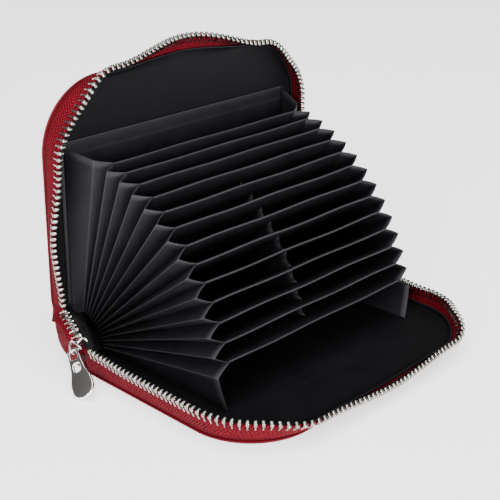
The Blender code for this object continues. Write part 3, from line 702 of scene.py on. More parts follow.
def makeLining(label, place, angles):
    # a floor to the cover's middle, a small round, then up the inside of the tape wall
    away, rounding = liningShape["away"], liningShape["round"]
    reach = zipPath["start"] - liningShape["endGap"]
    distance = np.linspace(-reach, pathTotal + reach, liningShape["columns"])
    bend, up, across, outward = wallFrame(distance, angles)
    base = bend + upright * (wallet["liningTop"] - liningShape["thickness"] / 2 - bend[..., 2:3])
    foot = base - outward * (away + rounding)
    inside = bend - across * away
    lift = wallet["liningTop"] - tapeLevel
    rows = [base - outward * inset for inset in liningShape["floor"]] + [foot]
    corner = base - outward * away
    start = inside + up * (lift + rounding)
    for share in liningShape["roundShares"]:
        rows.append(between(between(foot, corner, share), between(corner, start, share), share))
    for share in np.linspace(0, 1, liningShape["wallRows"]):
        rows.append(inside + up * (lift + between(rounding, liningShape["upturn"], share)))
    rows = np.array(rows)
    profile = rows[:, rows.shape[1] // 4]
    rise = np.cumsum(np.linalg.norm(np.diff(profile, axis=0, prepend=profile[:1]), axis=1))
    # painted highlight along the top row of the turned-up edge
    edgeHighlight = np.zeros(rows.shape[:2])
    edgeHighlight[-1] = liningShape["topEdgeHighlight"]
    faces = gridFaces(*rows.shape[:2]).tolist()
    faces.append(list(range(rows.shape[1]))[::-1])
    item = makeObject(f"{label}_lining_sheet", carry(rows, place), darkLining, faces,
                      uvs=spread(distance[None], rise[:, None]), marks={"edgeHighlight": edgeHighlight}, sharp=60)
    thicken(item, liningShape["wall"])
    return item


for label, place, body, angles, trim in coverSides:
    dress(makeLining(label, place, angles), body, f"{label}_lining")

# zip tapes
tapeShape = {"columns": 300, "rows": 12, "fullness": 0.00035, "cordRadius": 0.00072, "cordLift": 0.0003,
             "bendShares": (0.3, 0.6), "bendHeights": (0.0, 0.0004), "cordPattern": 0.004,
             "cordSides": 10}


def makeTape(label, place, angles, trim):
    # flange under the lining, a tight bend, then the wall, fuller by half a sine up its height
    distance = np.linspace(trim, pathTotal - trim, tapeShape["columns"])
    bend, up, across, outward = wallFrame(distance, angles)
    turnIn = zipPath["bend"]
    flange = (zipPath["flange"], zipPath["flangeMiddle"], turnIn)
    rising = wallHeight * np.linspace(turnIn / wallHeight, 1, tapeShape["rows"])
    rows = [bend - outward * inset for inset in flange]
    for share in tapeShape["bendShares"]:
        rows.append(between(bend - outward * turnIn * (1 - share), bend + up * turnIn * share, share))
    rows += [bend + up * height for height in rising]
    heights = np.concatenate([np.negative(flange), tapeShape["bendHeights"], rising])
    fullness = tapeShape["fullness"] * np.sin(math.pi * np.clip(heights / wallHeight, 0, 1))
    rows = np.array(rows) + across[None] * fullness[:, None, None]
    item = makeObject(f"{label}_tape_wall", carry(rows, place), redTape, sharp=80,
                      uvs=spread(distance[None], heights[:, None]))
    thicken(item, zipPath["tapeThickness"])
    # the woven cord along the tape's edge, which the teeth clamp: a ring of points along the edge
    turn, c, s = circle(tapeShape["cordSides"])
    ring = ((bend + up * (wallHeight + tapeShape["cordLift"]))[:, None]
            + (c[:, None] * across[:, None] + s[:, None] * up[:, None]) * tapeShape["cordRadius"])
    points, faces = tubes(carry(ring, place)[None])
    around = turn * tapeShape["cordRadius"] + tapeShape["cordPattern"]
    cord = makeObject(f"{label}_edge_wall", points, redTape, faces, outward=True, sharp=80,
                      uvs=spread(distance[:, None], around[None]))
    return item, cord


for label, place, body, angles, trim in coverSides:
    item, cord = makeTape(label, place, angles, trim)
    dress(item, body, f"{label}_zip_tape")
    dress(cord, body)

# zip teeth
toothShape = {
    "pitch": 0.00235, "cut": 0.62,
    # height over the tape's edge, half length along the zip, half width across it
    "stations": ((-0.0015, 0.00026, 0.0005), (-0.00138, 0.00042, 0.00074), (-0.0011, 0.00046, 0.00084),
                 (-0.0008, 0.00036, 0.00086), (0.0004, 0.00034, 0.00092), (0.0009, 0.0004, 0.00098),
                 (0.00115, 0.00062, 0.00112), (0.0014, 0.00074, 0.0012), (0.0023, 0.00074, 0.0012),
                 (0.0027, 0.00062, 0.00106), (0.00285, 0.00042, 0.0008)),
    # the first tooth's share of what the count leaves over, and how many the slider hides
    "firstShare": {"lower": 0.35, "upper": 0.5}, "leftOut": {"lower": 1, "upper": 0},
}


def toothPoints(base, up, across, along):
    # an eight-sided section with cut corners, lofted through the stations
    cut = toothShape["cut"]
    corner = np.array([(1, cut), (cut, 1), (-cut, 1), (-1, cut)])
    corner = np.concatenate([corner, -corner])
    height, halfLength, halfWidth = np.array(toothShape["stations"]).T[:, :, None, None]
    base, up, across, along = (part[:, None, None] for part in (base, up, across, along))
    return base + along * (halfLength * corner[:, :1]) + across * (halfWidth * corner[:, 1:]) + up * height


def makeTeeth(label, place, angles, trim):
    # teeth at even steps along the tape's edge
    step = toothShape["pitch"]
    count = int((pathTotal - 2 * trim - step) / step)
    start = trim + (pathTotal - 2 * trim - count * step) * toothShape["firstShare"][label]
    distance = start + (np.arange(toothShape["leftOut"][label], count) + 0.5) * step
    bend, up, across, outward = wallFrame(distance, angles)
    teeth = toothPoints(bend + up * wallHeight, up, across, np.cross(up, across))
    points, faces = tubes(carry(teeth, place))
    return makeObject(f"{label}_teeth_row", points, toothNickel, faces, outward=True, sharp=50)


for label, place, body, angles, trim in coverSides:
    dress(makeTeeth(label, place, angles, trim), body, f"{label}_zip_teeth")
print("wallet: zip tapes and teeth made")

# pages
pageShape = {"width": 0.0995, "root": 0.002, "reach": 0.068, "thickness": 0.00062, "hem": 0.0052,
             "hemThickness": 0.00078, "wave": 0.00018, "columns": 61,
             "rows": 14, "hemRows": 6, "halfWaves": 4, "waveStep": 1.7,
             # how far the rows near the hem's seam and near the mouth stand from them
             "seamRows": (-0.0006, -0.0003, 0.0, 0.0004), "mouthRows": (0.0004, 0.00012),
             "mouthThickness": (0.8, 0.35), "mouthHighlight": (0.25, 0.8, 1.0),
             "seamHighlight": 0.35}


def makePage(number):
    # a closed flat sleeve: rows out from the fold, thicker at the hem, with a wave that grows by the
    # cube of the reach towards the mouth
    out, seam = pageShape["reach"], pageShape["reach"] - pageShape["hem"]
    beforeSeam, atSeam, onSeam, pastSeam = (seam + step for step in pageShape["seamRows"])
    mouth, lip = (out - step for step in pageShape["mouthRows"])
    reach = np.concatenate([np.linspace(pageShape["root"], beforeSeam, pageShape["rows"]), [atSeam, onSeam],
                            np.linspace(pastSeam, mouth, pageShape["hemRows"]), [lip, out]])[:, None]
    half = np.where(reach >= seam, pageShape["hemThickness"], pageShape["thickness"]) / 2
    half[-2:, 0] *= pageShape["mouthThickness"]
    x = np.linspace(-1, 1, pageShape["columns"])[None] * pageShape["width"] / 2
    middle = (pageHeights[number - 1] + pageShape["wave"] * (reach / out) ** 3
              * np.sin(x / pageShape["width"] * math.pi * pageShape["halfWaves"]
                       + number * pageShape["waveStep"]))
    points = np.stack([spread(x, -wallet["setback"] - reach, middle + half * side) for side in (1, -1)])
    rows, columns = middle.shape
    other = rows * columns
    index = np.arange(other).reshape(rows, columns)
    ring = np.concatenate([index[:, 0], index[-1, 1:], index[-2::-1, -1], index[0, -2:0:-1]])
    following = np.roll(ring, -1)
    faces = np.concatenate([gridFaces(rows, columns), gridFaces(rows, columns, start=other)[:, ::-1],
                            spread(ring, following, other + following, other + ring)])
    # painted highlight: paler rows at the mouth's edge and along the hem's seam
    edgeHighlight = np.zeros((rows, columns))
    edgeHighlight[-3:] = np.array(pageShape["mouthHighlight"])[:, None]
    edgeHighlight[pageShape["rows"]] = pageShape["seamHighlight"]
    return makeObject(f"card_page_{number:02d}", carry(points, leafPlaces[number]), darkNylon, faces,
                      uvs=np.stack([spread(x, reach)] * 2), marks={"edgeHighlight": np.stack([edgeHighlight] * 2)},
                      outward=True, sharp=50)


for number in range(1, pageCount + 1):
    dress(makePage(number), f"page_{number:02d}", f"page_{number:02d}")
print("wallet: pages made")

# side pleats, roots and dividers
pleatShape = {"depth": 0.0067, "thickness": 0.0003, "root": 0.001, "rows": 22,
              "bow": 0.00027, "bowPower": 1.2,
              "frontHalf": 0.053, "frontLift": 0.00015, "frontShare": 0.78,
              "backHalf": 0.0605, "backDrop": 0.00115, "backShare": 0.24, "backReach": 0.0705,
              # shares across a panel, close together at both ends so that the painted highlights on folds and
              # seams stay narrow
              "edgeShares": (0, 0.035, 0.08), "innerShares": (0.15, 0.85, 5),
              "foldHighlight": 1.0, "besideFoldHighlight": 0.12, "seamHighlight": 0.55, "blendReach": 0.9}
attachX = pageShape["width"] / 2


def pleatEnds(wedge):
    # half width, height and reach where the pleat is sewn below and above, and its fold's share
    below = (attachX, leafHeights[wedge], pageShape["reach"])
    above = (attachX, leafHeights[wedge + 1], pageShape["reach"])
    share = 0.5
    if wedge == 0:
        below = (pleatShape["frontHalf"], wallet["liningTop"] + pleatShape["frontLift"], pageShape["reach"])
        share = pleatShape["frontShare"]
    if wedge == pageCount:
        above = (pleatShape["backHalf"], leafHeights[-1] - pleatShape["backDrop"], pleatShape["backReach"])
        share = pleatShape["backShare"]
    return np.array(below), np.array(above), share


def pleatSide(wedge, side, cross, radius):
    # two panels of one side pleat, sewn line to fold and fold to sewn line, which bow by half a sine
    # across them, more towards the mouth
    below, above, share = pleatEnds(wedge)
    fold = between(below, above, share)
    fold[0] = attachX + pleatShape["depth"]
    lines = []
    for matrix, (half, height, reach) in ((leafPlaces[wedge], below), (wedgePlace(wedge, share), fold),
                                          (leafPlaces[wedge + 1], above)):
        out = between(pleatShape["root"], reach, radius)
        lines.append(carry(spread(side * half, -wallet["setback"] - out, height), matrix))
    outDirection = lines[1][-1] - lines[1][0]
    growth = (radius ** pleatShape["bowPower"])[:, None, None]
    panels = []
    for start, end, shares in ((lines[0], lines[1], cross), (lines[1], lines[2], cross[1:])):
        sag = pleatShape["bow"] * growth * np.sin(math.pi * shares)[:, None]
        normal = unit(np.cross(end - start, outDirection))[:, None]
        panels.append(between(start[:, None], end[:, None], shares[:, None]) + side * normal * sag)
    return np.concatenate(panels, 1)


def makePleat(wedge):
    # both side pleats and the sheet across the fold's root between them, in one mesh
    edge = np.array(pleatShape["edgeShares"])
    cross = np.concatenate([edge, np.linspace(*pleatShape["innerShares"]), 1 - edge[::-1]])
    radius = np.linspace(0, 1, pleatShape["rows"])
    panels = np.array([pleatSide(wedge, side, cross, radius) for side in (-1, 1)])
    rows, columns = panels.shape[1:3]
    reach = pageShape["reach"]
    widths = np.linalg.norm(np.diff(panels, axis=2), axis=3)
    across = np.concatenate([np.zeros((2, 1)), np.cumsum(widths[:, -1], axis=1)], 1)
    # painted highlight on the fold line, faintly beside it, and along the sewn edges and the mouth
    edgeHighlight = np.zeros((rows, columns))
    middle = len(cross) - 1
    edgeHighlight[:, middle] = pleatShape["foldHighlight"]
    edgeHighlight[:, [middle - 1, middle + 1]] = pleatShape["besideFoldHighlight"]
    edgeHighlight[:, [0, -1]] = pleatShape["seamHighlight"]
    edgeHighlight[-1] = np.maximum(edgeHighlight[-1], pleatShape["seamHighlight"])
    second = rows * columns
    faces = gridFaces(rows, columns)[:, ::-1].tolist() + gridFaces(rows, columns, start=second).tolist()
    faces.append([0, second, second + columns - 1, columns - 1])
    faces.append(list(range(columns)))
    faces.append(list(range(second, second + columns))[::-1])
    item = makeObject(f"pocket_pleat_{wedge:02d}", panels, darkNylon, faces, sharp=28,
                      uvs=spread(across[:, None], (radius * reach)[:, None]), marks={"edgeHighlight": [edgeHighlight] * 2})
    thicken(item, pleatShape["thickness"], finished=True)
    dress(item, node=f"pleat_{wedge:02d}")
    return item


def pocketBlend(item, wedge):
    # the sewn lines on the leaf below and on the leaf above, as the ends that foldBlend takes
    ends = []
    for place, (half, height, reach) in zip(leafPlaces[wedge:], pleatEnds(wedge)[:2]):
        ends.append(carry([0, -wallet["setback"] - reach * pleatShape["blendReach"], height], place))
    foldBlend(item, wedge, *ends)


dividerShape = {"thickness": 0.0005, "reach": 0.060, "clear": 0.0003, "notch": 0.0022, "notchPower": 6,
                "bow": 0.00035, "rows": 14, "levels": 6, "pattern": 0.006, "edgeHighlight": 0.2}


def makeDivider(wedge):
    # the web between the two columns of slots: a fan of lines, bowed by half a sine, notched at its front
    radius = np.linspace(pleatShape["root"], dividerShape["reach"], dividerShape["rows"])
    levels = np.linspace(0, 1, dividerShape["levels"])
    low, high = leafHeights[wedge] + dividerShape["clear"], leafHeights[wedge + 1] - dividerShape["clear"]
    columns = []
    for level in levels:
        swell = math.sin(math.pi * level)
        notch = dividerShape["notch"] * swell * (radius / radius[-1]) ** dividerShape["notchPower"]
        local = spread(dividerShape["bow"] * swell, notch - wallet["setback"] - radius,
                       between(low, high, level))
        columns.append(carry(local, wedgePlace(wedge, level)))
    panel = np.stack(columns, 1)
    # painted highlight along the web's front edge
    edgeHighlight = np.zeros(panel.shape[:2])
    edgeHighlight[-1] = dividerShape["edgeHighlight"]
    item = makeObject(f"pocket_divider_{wedge:02d}", panel, darkNylon, marks={"edgeHighlight": edgeHighlight},
                      uvs=spread(levels[None] * dividerShape["pattern"], radius[:, None]))
    thicken(item, dividerShape["thickness"], finished=True)
    dress(item)
    return item


for wedge in range(pageCount + 1):
    pocketBlend(makePleat(wedge), wedge)
    if 0 < wedge < pageCount:
        pocketBlend(makeDivider(wedge), wedge)
print("wallet: pleats made")

# slip pocket on the upper cover's inside
slipShape = {"half": 0.062, "top": 0.074, "root": 0.0035, "thickness": 0.0004, "hem": 0.006, "lift": 0.0005,
             "pastSeam": 0.0003, "beforeTop": 0.0004,
             "gape": 0.00025, "columns": 49, "rows": 14, "hemRows": 5, "hemHighlight": 0.4}


def makeSlipPocket():
    # a flat sheet that gapes at its mouth, by the fourth power of its reach and less towards its sides
    half, top, seam = slipShape["half"], slipShape["top"], slipShape["top"] - slipShape["hem"]
    x = np.linspace(-1, 1, slipShape["columns"])[None] * half
    reach = np.concatenate([np.linspace(slipShape["root"], seam, slipShape["rows"]),
                            np.linspace(seam + slipShape["pastSeam"], top - slipShape["beforeTop"],
                                        slipShape["hemRows"]), [top]])[:, None]
    gape = slipShape["gape"] * (reach / top) ** 4 * (1 - (x / half) ** 2)
    rows = spread(x, -reach, wallet["liningTop"] + slipShape["lift"] + gape)
    # painted highlight along the row past the hem's seam and the row below the mouth, brightest on the
    # mouth's edge
    edgeHighlight = np.zeros(rows.shape[:2])
    edgeHighlight[[slipShape["rows"], -2]] = slipShape["hemHighlight"]
    edgeHighlight[-1] = 1.0
    item = makeObject("upper_slip_pocket_cloth", carry(rows, upperPlace), darkNylon, uvs=rows[..., :2],
                      marks={"edgeHighlight": edgeHighlight})
    thicken(item, slipShape["thickness"])
    dress(item, "upper_cover", "upper_slip_pocket")


makeSlipPocket()

# spine leather and the tape that closes the spine's ends
spineShape = {"clothDepth": 0.0011, "clothThickness": 0.0003, "clothShare": 0.93, "bulge": 0.0075,
              "rows": 8, "endRows": 22, "columns": 9, "hingeBack": 0.0001,
              "endInset": 0.0052, "endFront": 0.0056, "endThickness": 0.0005, "endClear": 0.0008,
              "wrap": 0.0052, "wrapAway": 0.0007, "pattern": 0.01,
              "closeRows": 5, "closeColumns": 7, "wrapRound": 7, "wrapColumns": 5}
spineTall = halfShut - wallet["leather"] / 2


def spineLine(height, x, inset=0.0):
    # half an ellipse from the lower cover's back edge to the upper one's
    rise = np.clip((height - halfShut) / (spineTall - inset), -1, 1)
    return spread(x, (spineShape["bulge"] - inset) * np.sqrt(1 - rise ** 2), height)


def makeSpineStrip(wedge):
    # one strip of the spine for each fold, at even angles round the ellipse, with dark cloth inside it
    lowest = halfShut - spineTall if wedge == 0 else leafHeights[wedge]
    highest = halfShut + spineTall if wedge == pageCount else leafHeights[wedge + 1]
    first, last = (math.acos(max(-1, min(1, (halfShut - value) / spineTall))) for value in (lowest, highest))
    turn = np.linspace(first, last, spineShape["endRows" if wedge in (0, pageCount) else "rows"])[:, None]
    height = halfShut - spineTall * np.cos(turn)
    fromEnd = np.minimum(turn, math.pi - turn) * (spineTall + spineShape["bulge"]) / 2
    x = np.linspace(-1, 1, spineShape["columns"])[None] * (halfCover - drawnIn(fromEnd))
    local = spineLine(height, x)
    if wedge in (0, pageCount):
        local[0 if wedge == 0 else -1, :, 1] = -spineShape["hingeBack"]
    ends = opened(spineLine(np.array(leafHeights[wedge:wedge + 2]), 0.0))
    inside = spineLine(height, x * spineShape["clothShare"], spineShape["clothDepth"])
    foldStrip(f"spine_strip_{wedge:02d}", opened(local), redLeather, local[..., :2], wallet["leather"],
              wedge, ends, "spine_leather")
    foldStrip(f"spine_cloth_{wedge:02d}", opened(inside), darkLining, local[..., :2],
              spineShape["clothThickness"], wedge, ends)


def makeEndStrip(wedge, side, label):
    # one strip of the closing tape for each fold, from the zip's end back to the spine leather
    low = wallet["liningTop"] + wallet["seatGap"] + spineShape["endThickness"] / 2
    lowest = low if wedge == 0 else leafHeights[wedge]
    highest = wallet["shutThickness"] - low if wedge == pageCount else leafHeights[wedge + 1]
    rows, columns, flap = (spineShape[key] for key in ("closeRows", "closeColumns", "wrapColumns"))
    height = np.linspace(lowest, highest, rows)[:, None]
    front, away = -spineShape["endFront"], spineShape["wrapAway"]
    back = (wallet["seatGap"] - wallet["leather"] / 2 - spineShape["endClear"]
            + spineShape["bulge"] * np.sqrt(np.clip(1 - ((halfShut - height) / spineTall) ** 2, 0, 1)))
    y = between(front, back, np.linspace(0, 1, columns)[None])
    middle = halfCover - spineShape["endInset"]
    local = spread(side * middle, y, height)
    points = opened(local)
    ends = (points[0, -1], points[-1, -1])
    foldStrip(f"tape_end_{label}_{wedge:02d}", points, redTape, local[..., 1:] + spineShape["pattern"],
              spineShape["endThickness"], wedge, ends, f"tape_end_{label}")
    # dark cloth inside it, folded round the front edge on to the outer face
    turn = np.linspace(-math.pi / 2, math.pi / 2, spineShape["wrapRound"])[1:-1]
    around = np.concatenate([front - away * np.cos(turn),
                             front + spineShape["wrap"] * np.linspace(0, 1, flap)])
    wrapY = np.concatenate([y[:, ::-1] - away, np.tile(around, (rows, 1))], 1)
    offset = np.concatenate([np.full(columns, -away), away * np.sin(turn), np.full(flap, away)])
    inside = spread(side * (middle + offset), wrapY, height)
    foldStrip(f"end_cloth_{label}_{wedge:02d}", opened(inside), darkLining,
              inside[..., 1:] + spineShape["pattern"], spineShape["clothThickness"], wedge,
              ends)


for wedge in range(pageCount + 1):
    makeSpineStrip(wedge)
    makeEndStrip(wedge, -1, "left")
    makeEndStrip(wedge, 1, "right")
print("wallet: spine made")

# slider
sliderShape = {
    "place": (-0.0690, -0.0035, 0.0151), "tilt": 50.0, "yaw": -20.0, "length": 0.0084, "mouth": 0.0074,
    "tail": 0.0058, "plate": 0.0009, "channel": 0.0028, "round": 0.00032, "corner": 0.0013,
    "notchHalf": 0.0006, "notchDepth": 0.0005, "shoulder": 0.0034, "taper": 0.0036,
    "neck": 0.0009, "neckInset": 0.0012, "neckLonger": 1.15, "neckFlare": 0.0003,
    "neckStep": 0.0005, "neckSides": 20,
    "lip": 0.0007, "lipWidth": 0.0007, "lipStart": -0.0010, "lipEnd": 0.0014, "lipSink": 0.0002,
    # inset and height of the lip's edge
    "lipEdge": ((0.00016, 0), (0.00004, 0.00012), (0, 0.0003)),
}
sliderLocal = (shift(*sliderShape["place"]) @ turnAbout("Z", sliderShape["yaw"])
               @ turnAbout("Y", sliderShape["tilt"]))
sliderPlace = lowerPlace @ sliderLocal


def sliderOutline():
    # a plate wider at its mouth than at its tail, with a small notch in the middle of the mouth
    mouth, tail, half = sliderShape["mouth"] / 2, sliderShape["tail"] / 2, sliderShape["length"] / 2
    cut = sliderShape["corner"]
    notch = (sliderShape["notchHalf"], -half + sliderShape["notchDepth"])
    return smoothOutline(mirrored([
        notch, (mouth - cut, -half), (mouth, -half + cut), (mouth, -half + sliderShape["shoulder"]),
        (tail, half - sliderShape["taper"]), (tail, half - cut), (tail - cut, half)]))


def makeSlider():
    # two plates, four lips that hold the teeth in, and a neck between the plates, in one mesh
    half, channel = sliderShape["length"] / 2, sliderShape["channel"] / 2
    inset, level = quarterRound(sliderShape["round"], sliderShape["plate"])
    plates = [roundedPlate(sliderOutline(), inset, level + side * (channel + sliderShape["plate"] / 2))
              for side in (-1, 1)]
    far = sliderShape["tail"] / 2
    near = far - sliderShape["lipWidth"]
    lipInset, lipLevel = np.array(sliderShape["lipEdge"]).T
    lipInset = np.append(lipInset, 0)
    lipLevel = np.append(channel - sliderShape["lip"] + lipLevel, channel + sliderShape["lipSink"])
    start, end = sliderShape["lipStart"], half - sliderShape["lipEnd"]
    lip = np.array([(near, start), (far, start), (far, end), (near, end)])
    lips = [roundedPlate(smoothOutline(lip * (side, 1)), lipInset, layer * lipLevel)
            for side in (-1, 1) for layer in (-1, 1)]
    _, c, s = circle(sliderShape["neckSides"])
    neck = sliderShape["neck"]
    lens = spread(neck * c, neck * s * sliderShape["neckLonger"] + neck + sliderShape["neckInset"] - half)
    flare, tall = sliderShape["neckFlare"], channel + sliderShape["neckFlare"]
    waist = tall - sliderShape["neckStep"]
    neckPart = roundedPlate(lens, [-flare, 0, 0, 0, -flare], [-tall, -waist, 0, waist, tall])
    points, faces, count = [], [], 0
    for part in plates + lips + [neckPart]:
        partPoints, partFaces = tubes(part[None])
        points.append(partPoints)
        faces += [[index + count for index in face] for face in partFaces]
        count += len(partPoints)
    item = makeObject("zip_slider", carry(np.concatenate(points), sliderPlace), nickel, faces, outward=True,
                      sharp=45)
    dress(item, "lower_cover", "slider_body")


makeSlider()

bridgeShape = {"span": 0.0044, "height": 0.0035, "wire": 0.00045, "flat": 0.98,
               "offset": -0.0024, "lean": 48.0, "steps": 30, "sides": 12, "lift": 0.0003,
               "footDepth": 0.0007}


def bridgeArch(across):
    # the arch over the outer plate at a place across it: half an ellipse, leaning towards the mouth
    lean = math.radians(bridgeShape["lean"])
    foot = (sliderShape["channel"] / 2 + sliderShape["plate"] + bridgeShape["lift"]
            + bridgeShape["wire"] * math.sin(lean))
    rise = bridgeShape["height"] * np.sqrt(np.clip(1 - (2 * across / bridgeShape["span"]) ** 2, 0, 1))
    return spread(across, bridgeShape["offset"] - rise * math.sin(lean), -foot - rise * math.cos(lean))


def makeBridge():
    # an oval wire swept along the arch, with feet that run straight down into the plate
    lean, wire = math.radians(bridgeShape["lean"]), bridgeShape["wire"]
    arch = bridgeArch(-bridgeShape["span"] / 2 * np.cos(np.linspace(0, math.pi, bridgeShape["steps"])))
    down = np.array([[0, 0, bridgeShape["footDepth"]]])
    centre = np.concatenate([arch[:1] + down, arch, arch[-1:] + down])
    ahead = unit(np.gradient(centre, axis=0))
    side = unit(np.cross(ahead, np.array([0, math.cos(lean), -math.sin(lean)])))
    other = np.cross(side, ahead)
    _, c, s = circle(bridgeShape["sides"])
    ring = (centre[:, None] + side[:, None] * (c * wire)[:, None]
            + other[:, None] * (s * wire * bridgeShape["flat"])[:, None])
    points, faces = tubes(carry(ring, sliderPlace)[None])
    item = makeObject("zip_slider_bridge", points, nickel, faces, outward=True)
    dress(item, "lower_cover", "slider_bridge")


makeBridge()

# pull
pullShape = {
    "thickness": 0.0013, "ring": 0.00255, "hole": 0.0015, "holeLength": 0.0038,
    "length": 0.0225, "paddle": 0.0092, "windowWidth": 0.0029, "windowLength": 0.0040, "windowCentre": 0.0088,
    "bevel": 0.00034, "slack": 0.0005, "slide": 0.0007, "heading": -114.5, "drop": 26.0, "roll": 38.0,
    "merge": 0.000003, "rimEdge": 0.00001, "bevelSteps": 3,
    "shoulder": 0.16, "tipStart": 0.985, "sideSteps": 40, "tipSteps": 9, "ringSteps": 25,
    "holeSteps": 13, "holeFlat": 0.5, "smoothing": (1, 2, 3, 2, 1),
    # share of the length, and of the paddle's half width there
    "side": ((0.16, 0.56), (0.30, 0.60), (0.45, 0.68), (0.54, 0.80), (0.63, 0.95), (0.74, 1.00), (0.85, 0.98),
             (0.92, 0.86), (0.965, 0.62), (0.99, 0.32)),
}
pullBar = (pullShape["ring"] - pullShape["hole"]) / 2


def pullPlace():
    # the pull lies along its heading and drop, rolled about its own length, under the bridge's top
    heading, drop, roll = (math.radians(pullShape[key]) for key in ("heading", "drop", "roll"))
    ahead = math.cos(drop)
    along = np.array([math.cos(heading) * ahead, math.sin(heading) * ahead, -math.sin(drop)])
    level = unit(np.cross(along, (0, 0, 1)))
    across = -(level * math.cos(roll) + np.cross(along, level) * math.sin(roll))
    hang = math.hypot(pullBar, pullShape["thickness"] / 2) + pullShape["slack"] + bridgeShape["wire"]
    place = np.eye(4)
    place[:3, 0], place[:3, 1], place[:3, 2] = across, -along, np.cross(along, across)
    place[:3, 3] = carry(bridgeArch(pullShape["slide"]), sliderLocal) - along * hang
    return lowerPlace @ place


def pullOutlines():
    # the loop's half circle, the side from the table, smoothed, and an eased tip; then hole and window
    length, halfPaddle = pullShape["length"], pullShape["paddle"] / 2
    share = np.linspace(pullShape["shoulder"], pullShape["tipStart"], pullShape["sideSteps"])
    width = np.interp(share, *np.array(pullShape["side"]).T)
    weights = np.array(pullShape["smoothing"])
    edge = len(weights) // 2
    width[edge:-edge] = np.convolve(width, weights / weights.sum(), "valid")
    tip = np.linspace(0, 1, pullShape["tipSteps"])[1:-1] * math.pi / 2
    left = np.concatenate([spread(-halfPaddle * width, -length * share),
                           spread(-halfPaddle * width[-1] * np.cos(tip),
                                  -length * between(pullShape["tipStart"], 1, np.sin(tip)))])
    ringY = pullBar - pullShape["ring"]
    turn = np.linspace(0, math.pi, pullShape["ringSteps"])
    ring = spread(np.cos(turn), np.sin(turn))
    outline = np.concatenate([ring * pullShape["ring"] + (0, ringY), left, [[0, -length]],
                              left[::-1] * (-1, 1)])
    lowTurn = np.linspace(math.pi, 2 * math.pi, pullShape["holeSteps"])
    holeEnd = ringY - (pullShape["holeLength"] - pullShape["hole"])
    lowEnd = spread(np.cos(lowTurn), pullShape["holeFlat"] * np.sin(lowTurn))
    hole = np.concatenate([ring * pullShape["hole"] + (0, ringY), lowEnd * pullShape["hole"] + (0, holeEnd)])
    levels = np.array([-1, 0, 1]) * pullShape["windowLength"] / 2 - pullShape["windowCentre"]
    window = smoothOutline(mirrored(spread(pullShape["windowWidth"] / 2, levels)))
    return outline, hole, window


def makePull():
    # the outlines filled, given their thickness and a round bevel, with the rim marked for the material
    curve = bpy.data.curves.new("pull_outline", "CURVE")
    curve.dimensions = "2D"
    curve.fill_mode = "BOTH"
    curve.bevel_depth = pullShape["bevel"]
    curve.offset = -pullShape["bevel"]
    curve.bevel_resolution = pullShape["bevelSteps"]
    curve.extrude = pullShape["thickness"] / 2 - pullShape["bevel"]
    for outline in pullOutlines():
        spline = curve.splines.new("POLY")
        spline.points.add(len(outline) - 1)
        spline.use_cyclic_u = True
        spline.points.foreach_set("co", spread(*outline.T, 0, 1).ravel())
    carrier = bpy.data.objects.new("pull_outline", curve)
    bpy.context.scene.collection.objects.link(carrier)
    bpy.context.view_layer.update()
    mesh = bpy.data.meshes.new_from_object(carrier.evaluated_get(bpy.context.evaluated_depsgraph_get()))
    bpy.data.objects.remove(carrier)
    bpy.data.curves.remove(curve)
    repairMesh(mesh, pullShape["merge"])
    local = np.empty(len(mesh.vertices) * 3)
    mesh.vertices.foreach_get("co", local)
    local = local.reshape(-1, 3)
    markPoints(mesh, "rim", np.abs(local[:, 2]) < pullShape["thickness"] / 2 - pullShape["rimEdge"])
    mesh.vertices.foreach_set("co", carry(local, pullPlace()).ravel())
    mesh.name = "zip_pull_tab"
    dress(showMesh(mesh, satinSteel, 30), "pull", "zip_pull")


makePull()

# stops: across, along and square to the zip
stopShape = {"bottom": (0.0046, 0.0030, 0.0032), "top": (0.0030, 0.0026, 0.0026),
             "round": 0.0006, "roundSteps": 5, "gap": 0.0003}


def makeStop(name, size, place, body, node):
    # a rectangle with round corners and round edges
    corners = np.array([(-1, -1), (0, -1), (1, -1), (1, 0), (1, 1), (0, 1), (-1, 1), (-1, 0)])
    inset, level = quarterRound(stopShape["round"], size[2], stopShape["roundSteps"])
    rings = roundedPlate(smoothOutline(corners * size[:2] / 2), inset, level)
    points, faces = tubes(carry(rings, place)[None])
    dress(makeObject(name, points, nickel, faces, outward=True), body, node)


def makeStops():
    # the bottom stop behind the slider's tail, and a top stop at the far end of each row
    size, gap = stopShape["bottom"], stopShape["gap"]
    place = sliderPlace @ shift(0, sliderShape["length"] / 2 + gap + size[1] / 2, 0)
    makeStop("zip_bottom_stop_clamp", size, place, "lower_cover", "zip_bottom_stop")
    size = stopShape["top"]
    for (label, place, body, angles, trim), distance in zip(coverSides, (pathTotal, zipPath["upperTrim"])):
        bend, up, across, outward = (part[0] for part in wallFrame(np.array([distance]), angles))
        local = np.eye(4)
        local[:3, 0], local[:3, 1], local[:3, 2] = across, (0, 1, 0), np.cross(across, (0, 1, 0))
        local[:3, 3] = bend + up * (wallHeight + gap + size[2] / 2) + np.array([0, gap + size[1] / 2, 0])
        makeStop(f"{label}_top_stop_clamp", size, place @ local, body, f"{label}_zip_top_stop")


makeStops()
print("wallet: slider, pull and stops made")

# the run of teeth from the slider's mouth to the upper cover
runShape = {"mouthOffset": 0.0036, "nearBend": (-0.0012, -0.0002, 0.0045), "nearUp": (0.8, -0.5, 0.1),
            "farDrop": 0.0030, "nearReach": 0.0030, "clear": 0.0015, "reachPower": 5, "turnPower": 3,
            "samples": 60, "stripRows": 4, "stripColumns": 7}


